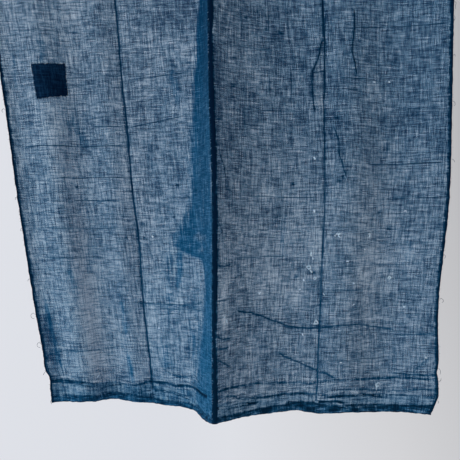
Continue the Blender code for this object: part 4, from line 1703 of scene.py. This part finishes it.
def patch_edge_yarns(sheet):
    """Short yarn ends and hidden stitches round the patch's sides."""
    tubes = Tubes()
    draw = random.Random(77)
    corners = ((0, 0), (1, 0), (1, 1), (0, 1))
    for i, start in enumerate(corners):
        end = corners[(i + 1) % 4]
        for _ in range(34):
            share = draw.random()
            s = start[0] + share * (end[0] - start[0])
            t = start[1] + share * (end[1] - start[1])
            place = patch_place(s, t)
            out = np.array((s - 0.5, t - 0.5))
            out = np.where(np.abs(out) > 0.49, np.sign(out), 0.0)
            long = draw.uniform(0.4, 1.1) * MM
            tip = place + out * long + np.array((draw.uniform(-0.3, 0.3), draw.uniform(-0.3, 0.3))) * MM
            a, _ = sheet.at(*(place - out * 0.6 * MM), 0.0011)
            b, _ = sheet.at(*place, 0.0009)
            c, _ = sheet.at(*tip, 0.0003)
            tubes.add((a, b, c), 0.00016, 4)
    return tubes


# Scene: floor, light, background and camera
FLOOR_DROP = 1.35
FLOOR_RADIUS = 1.9
CAMERA_PLACE = (0.028, -1.36, -0.563)
CAMERA_LENS = 84.28


def stage_material():
    nodes = Nodes(bpy.data.materials.new("pale_floor"))
    return nodes.finish((0.70, 0.71, 0.74, 1), CLOTH_ROUGHNESS)


def make_floor():
    bpy.ops.mesh.primitive_circle_add(
        vertices=96, radius=FLOOR_RADIUS, fill_type="NGON", location=(0.0, 0.0, -FLOOR_DROP)
    )
    floor = bpy.context.object
    floor.name = "floor"
    floor.data.materials.append(stage_material())


def make_background():
    """A pale surround, brighter on the left and greyer towards the upper right."""
    world = bpy.data.worlds.new("pale_surround")
    bpy.context.scene.world = world
    nodes = Nodes(world)
    tree = nodes.tree
    place = tree.nodes.new("ShaderNodeTexCoord")
    parts = nodes.split(place.outputs["Generated"])
    side = nodes.times(parts[0], -0.12)
    shaded = nodes.times(nodes.most(parts[0], 0.0), -0.90)
    right = nodes.between(parts[0], -0.05, 0.15)
    high = nodes.times(nodes.times(parts[2], -0.38), right)
    light = nodes.plus(nodes.plus(side, shaded), nodes.plus(high, 0.735))
    light = nodes.between(light, 0.42, 0.86, 0.42, 0.86)
    hue = nodes.blend(right, (0.965, 0.99, 1.06, 1), (0.985, 0.99, 1.025, 1))
    tint = tree.nodes.new("ShaderNodeVectorMath")
    tint.operation = "SCALE"
    nodes.give(tint.inputs[0], hue)
    nodes.give(tint.inputs["Scale"], light)
    shader = tree.nodes.new("ShaderNodeBackground")
    nodes.give(shader.inputs[0], tint.outputs[0])
    output = tree.nodes.new("ShaderNodeOutputWorld")
    nodes.give(output.inputs[0], shader.outputs[0])


def make_light(name, place, target, size, power):
    data = bpy.data.lights.new(name, "AREA")
    data.shape = "DISK"
    data.size = size
    data.energy = power
    lamp = bpy.data.objects.new(name, data)
    lamp.location = place
    aim = np.array(target) - np.array(place)
    lamp.rotation_euler = Vector(aim).to_track_quat("-Z", "Y").to_euler()
    bpy.context.scene.collection.objects.link(lamp)


def make_camera():
    data = bpy.data.cameras.new("camera")
    data.lens = CAMERA_LENS
    data.sensor_width = 36.0
    data.clip_start = 0.05
    data.clip_end = 50.0
    camera = bpy.data.objects.new("camera", data)
    camera.location = CAMERA_PLACE
    camera.rotation_euler = (math.radians(90), 0.0, 0.0)
    bpy.context.scene.collection.objects.link(camera)
    bpy.context.scene.camera = camera


def mark_flank(sheet):
    """Marks the deep blue flank beside the seam, opened where the photo shows paler yarns."""
    # The flank's even blue is partly painted light, the light from the left shining through the steep
    # flank; it is darker towards its top.
    start = smooth_table(BLUE_FLANK, BLUE_FLANK_COLUMNS, "start", sheet.drop_mm)
    soft = smooth_table(BLUE_FLANK, BLUE_FLANK_COLUMNS, "softness", sheet.drop_mm)
    flank = soft_step((sheet.flat_mm - start) / soft, -1.0, 1.0)
    sheet.marks["shade"] += 0.7 * flank * (1 - soft_step(sheet.drop_mm, 300, 440))
    for half, strength, points in LEFT_OPENINGS:
        flank *= 1 - strength * sheet.near_points(half, points)
    sheet.mark_most("blue", flank)


def tuck_under_lap(sheet, corner):
    """Flattens the left width where the lap lies on it, marks a faint painted highlight beside the lap's
    free edge, and marks the painted shadow of the lap.
    """
    sheet.offset *= 1 - soft_step(sheet.flat, corner - 0.010, corner - 0.002)
    # Painted highlight in a thin strip beside the lap's free edge, part way down
    near_seam = soft_step(sheet.flat, corner - 0.006, corner - 0.003)
    shown = soft_step(sheet.drop, 0.37, 0.44) * (1 - soft_step(sheet.drop, 0.54, 0.60))
    sheet.marks["pale"] += 0.10 * near_seam * shown
    # Painted shadow of the lap on the cloth beside it
    under_lap = soft_step(sheet.flat, corner - 0.0065, corner + 0.001)
    sheet.mark_most("dark", under_lap * (0.60 + 0.40 * sheet.uneven_down(0.014, 66)))


def shade_lap(sheet):
    """Marks the dark strip of the lap, its dense double cloth with a painted shadow just past it, ragged on
    its right, and makes it paler in patches along its free edge, a painted highlight on the rolled edge.
    """
    wide = smooth_table(LAP_SHADOW, SHADOW_COLUMNS, "reach", sheet.drop_mm)
    ragged = sheet.flat_mm + sheet.relief(LAP_RAGGED)
    inside, outside = LAP_SHADOW_BORDER
    sheet.mark_most("dark", 1 - soft_step(ragged, wide + inside, wide + outside))
    free_edge = 1 - soft_step(sheet.flat_mm, 0.2, 1.2)
    # Painted highlight: the lap's free edge is made paler in patches
    edge_highlight = np.clip(0.35 + 1.6 * sheet.uneven_down(0.006, 14), 0.0, 1.0)
    sheet.marks["dark"] *= 1 - 0.35 * free_edge * edge_highlight


def shape_lap(sheet):
    """Wavers the free edge of the lap, and stands the lap forward as a soft roll."""
    wave = sheet.uneven_down(0.007, 15) + 0.6 * sheet.uneven_down(0.0032, 16)
    near_edge = 1 - soft_step(sheet.flat_mm, 0.5, 4.0)
    sheet.base[..., 0] -= LAP_WAVE * near_edge * wave
    sheet.offset *= soft_step(sheet.flat, 0.006, 0.016)
    roll = np.sin(np.clip(sheet.flat / SEAM_LAP, 0, 1) * math.pi)
    sheet.offset += LAP_ROLL * roll * (1 + 0.35 * sheet.uneven(0.02, 0.004, 11))


def make_left_sheet():
    crease = LEFT_WIDTH - SEAM_TO_CREASE
    corner = LEFT_WIDTH - SEAM_UNDERLAP
    columns = column_places(LEFT_WIDTH, (0.0008, crease, corner), LEFT_FINE_COLUMNS)
    sheet = Sheet(LEFT_WIDTH, columns, left_section, LEFT_LENGTH, 1.0)
    waver_edge(sheet, 0.0, -1, LEFT_EDGE_OUT, LEFT_EDGE_SHIFT)
    pull_creases(sheet, LEFT_CREASES)
    soften_sheet(sheet)
    mark_bars(sheet, LEFT_BARS)
    mark_knots(sheet, LEFT_KNOTS)
    # Painted shade and painted light zones, with the cloth's patchy tone
    mark_lines(sheet, "shade", LEFT_SHADED)
    mark_lines(sheet, "pale", LEFT_PALE)
    set_tone(sheet, LEFT_TONE, LEFT_GREY)
    for half, change, points in LEFT_GREY_SHIFTS:
        sheet.marks["grey"] += change * sheet.near_points(half, points)
    pleat_hem(sheet, 0.22, 0.36)
    mark_lines(sheet, "blue", LEFT_BLUE_STREAKS)
    mark_flank(sheet)
    mark_edges(sheet, 0.0)
    roll_foot(sheet, LEFT_ROLL, 0.9, 0.72)
    tuck_under_lap(sheet, corner)
    sheet.settle()
    return sheet


def make_right_sheet():
    fixed = (0.0006, 0.0030, SEAM_LAP, SEAM_TO_CREASE, 0.3492)
    columns = column_places(RIGHT_WIDTH, fixed, RIGHT_FINE_COLUMNS)
    sheet = Sheet(RIGHT_WIDTH, columns, right_section, RIGHT_LENGTH, 50.0)
    waver_edge(sheet, RIGHT_WIDTH, 1, RIGHT_EDGE_OUT, RIGHT_EDGE_SHIFT)
    pull_creases(sheet, RIGHT_CREASES)
    soften_sheet(sheet)
    mark_bars(sheet, RIGHT_BARS)
    mark_knots(sheet, RIGHT_KNOTS)
    # Painted shade and painted light zones, with the cloth's patchy tone
    mark_lines(sheet, "shade", RIGHT_SHADED)
    mark_lines(sheet, "pale", RIGHT_PALE)
    pale_yarns_and_highlight = [(PALE_YARN_AND_HIGHLIGHT_HALF, strength, ends) for strength, *ends in RIGHT_PALE_YARNS_AND_HIGHLIGHT]
    mark_lines(sheet, "pale", pale_yarns_and_highlight)
    mark_lines(sheet, "grey", RIGHT_GREYED)
    set_tone(sheet, RIGHT_TONE, RIGHT_GREY)
    pleat_hem(sheet, 0.34, 0.0)
    mark_lines(sheet, "blue", RIGHT_BLUE_STREAKS)
    mark_edges(sheet, RIGHT_WIDTH)
    roll_foot(sheet, RIGHT_ROLL, 0.7, 1.0)
    shade_lap(sheet)
    shape_lap(sheet)
    sheet.settle()
    return sheet


def dress(piece, slot, *nodes):
    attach(piece, "root")
    if nodes:
        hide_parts(*nodes)


def make_stage():
    bpy.context.scene.view_settings.view_transform = "Standard"
    make_camera()
    make_background()
    make_floor()
    make_light("soft_left", (-2.2, -1.7, 0.3), (0.0, 0.0, -0.5), 1.8, 14.0)


def make_cloths(left, right):
    left_cloth = cloth_material("cloth_left", LEFT_STOPS, LEFT_HEM_NAVY, 3.0)
    right_cloth = cloth_material("cloth_right", RIGHT_STOPS, RIGHT_HEM_NAVY, 71.0)
    navy = navy_material()
    cloth_left = cloth_piece("cloth_left", left, left_cloth)
    cloth_right = cloth_piece("cloth_right", right, right_cloth)
    patch_cloth = patch_piece(left, navy)
    dress(cloth_left, "indigo_cloth_left", "panel_left")
    dress(cloth_right, "indigo_cloth_right", "panel_right")
    dress(patch_cloth, "navy_patch", "patch")
    return navy


def make_threads(left, right, navy):
    pale_thread = thread_material("pale_thread", PALE_THREAD)
    blue_thread = thread_material("blue_thread", BLUE_THREAD)
    lint_fibre = thread_material("lint_fibre", LINT_FIBRE)
    sheets = {"left": left, "right": right}

    pale = seam_stitches(left, right, 11, pale_stitch)
    dress(pale.piece("seam_thread_pale", pale_thread), "indigo_cloth_right")
    blue = seam_stitches(left, right, 11, lambda drop, share: not pale_stitch(drop, share))
    dress(blue.piece("seam_thread_blue", blue_thread), "indigo_cloth_right")
    hem_blue = Tubes()
    for side, seed, height, start, end in HEM_STITCHES_BLUE:
        hem_stitches(sheets[side], seed, height, start, end, hem_blue)
    dress(hem_blue.piece("hem_thread_blue", blue_thread), "indigo_cloth_right")
    hem_pale = Tubes()
    for side, seed, height, start, end in HEM_STITCHES_PALE:
        hem_stitches(sheets[side], seed, height, start, end, hem_pale)
    dress(hem_pale.piece("hem_thread_pale", pale_thread), "indigo_cloth_right")

    left_ends = loose_ends(left, "left", 31, 0.79)
    dress(left_ends.piece("left_edge_yarns", blue_thread), "indigo_cloth_left")
    right_ends = loose_ends(right, "right", 32, 0.80)
    dress(right_ends.piece("right_edge_yarns", blue_thread), "indigo_cloth_right")
    dress(patch_edge_yarns(left).piece("patch_edge_yarns", navy), "navy_patch")
    fibres = Tubes()
    lint(right, RIGHT_LINT, 41, fibres)
    lint(left, LEFT_LINT, 42, fibres)
    dress(fibres.piece("lint", lint_fibre), "indigo_cloth_right")


def main():
    make_stage()
    left = make_left_sheet()
    right = make_right_sheet()
    navy = make_cloths(left, right)
    make_threads(left, right, navy)


main()
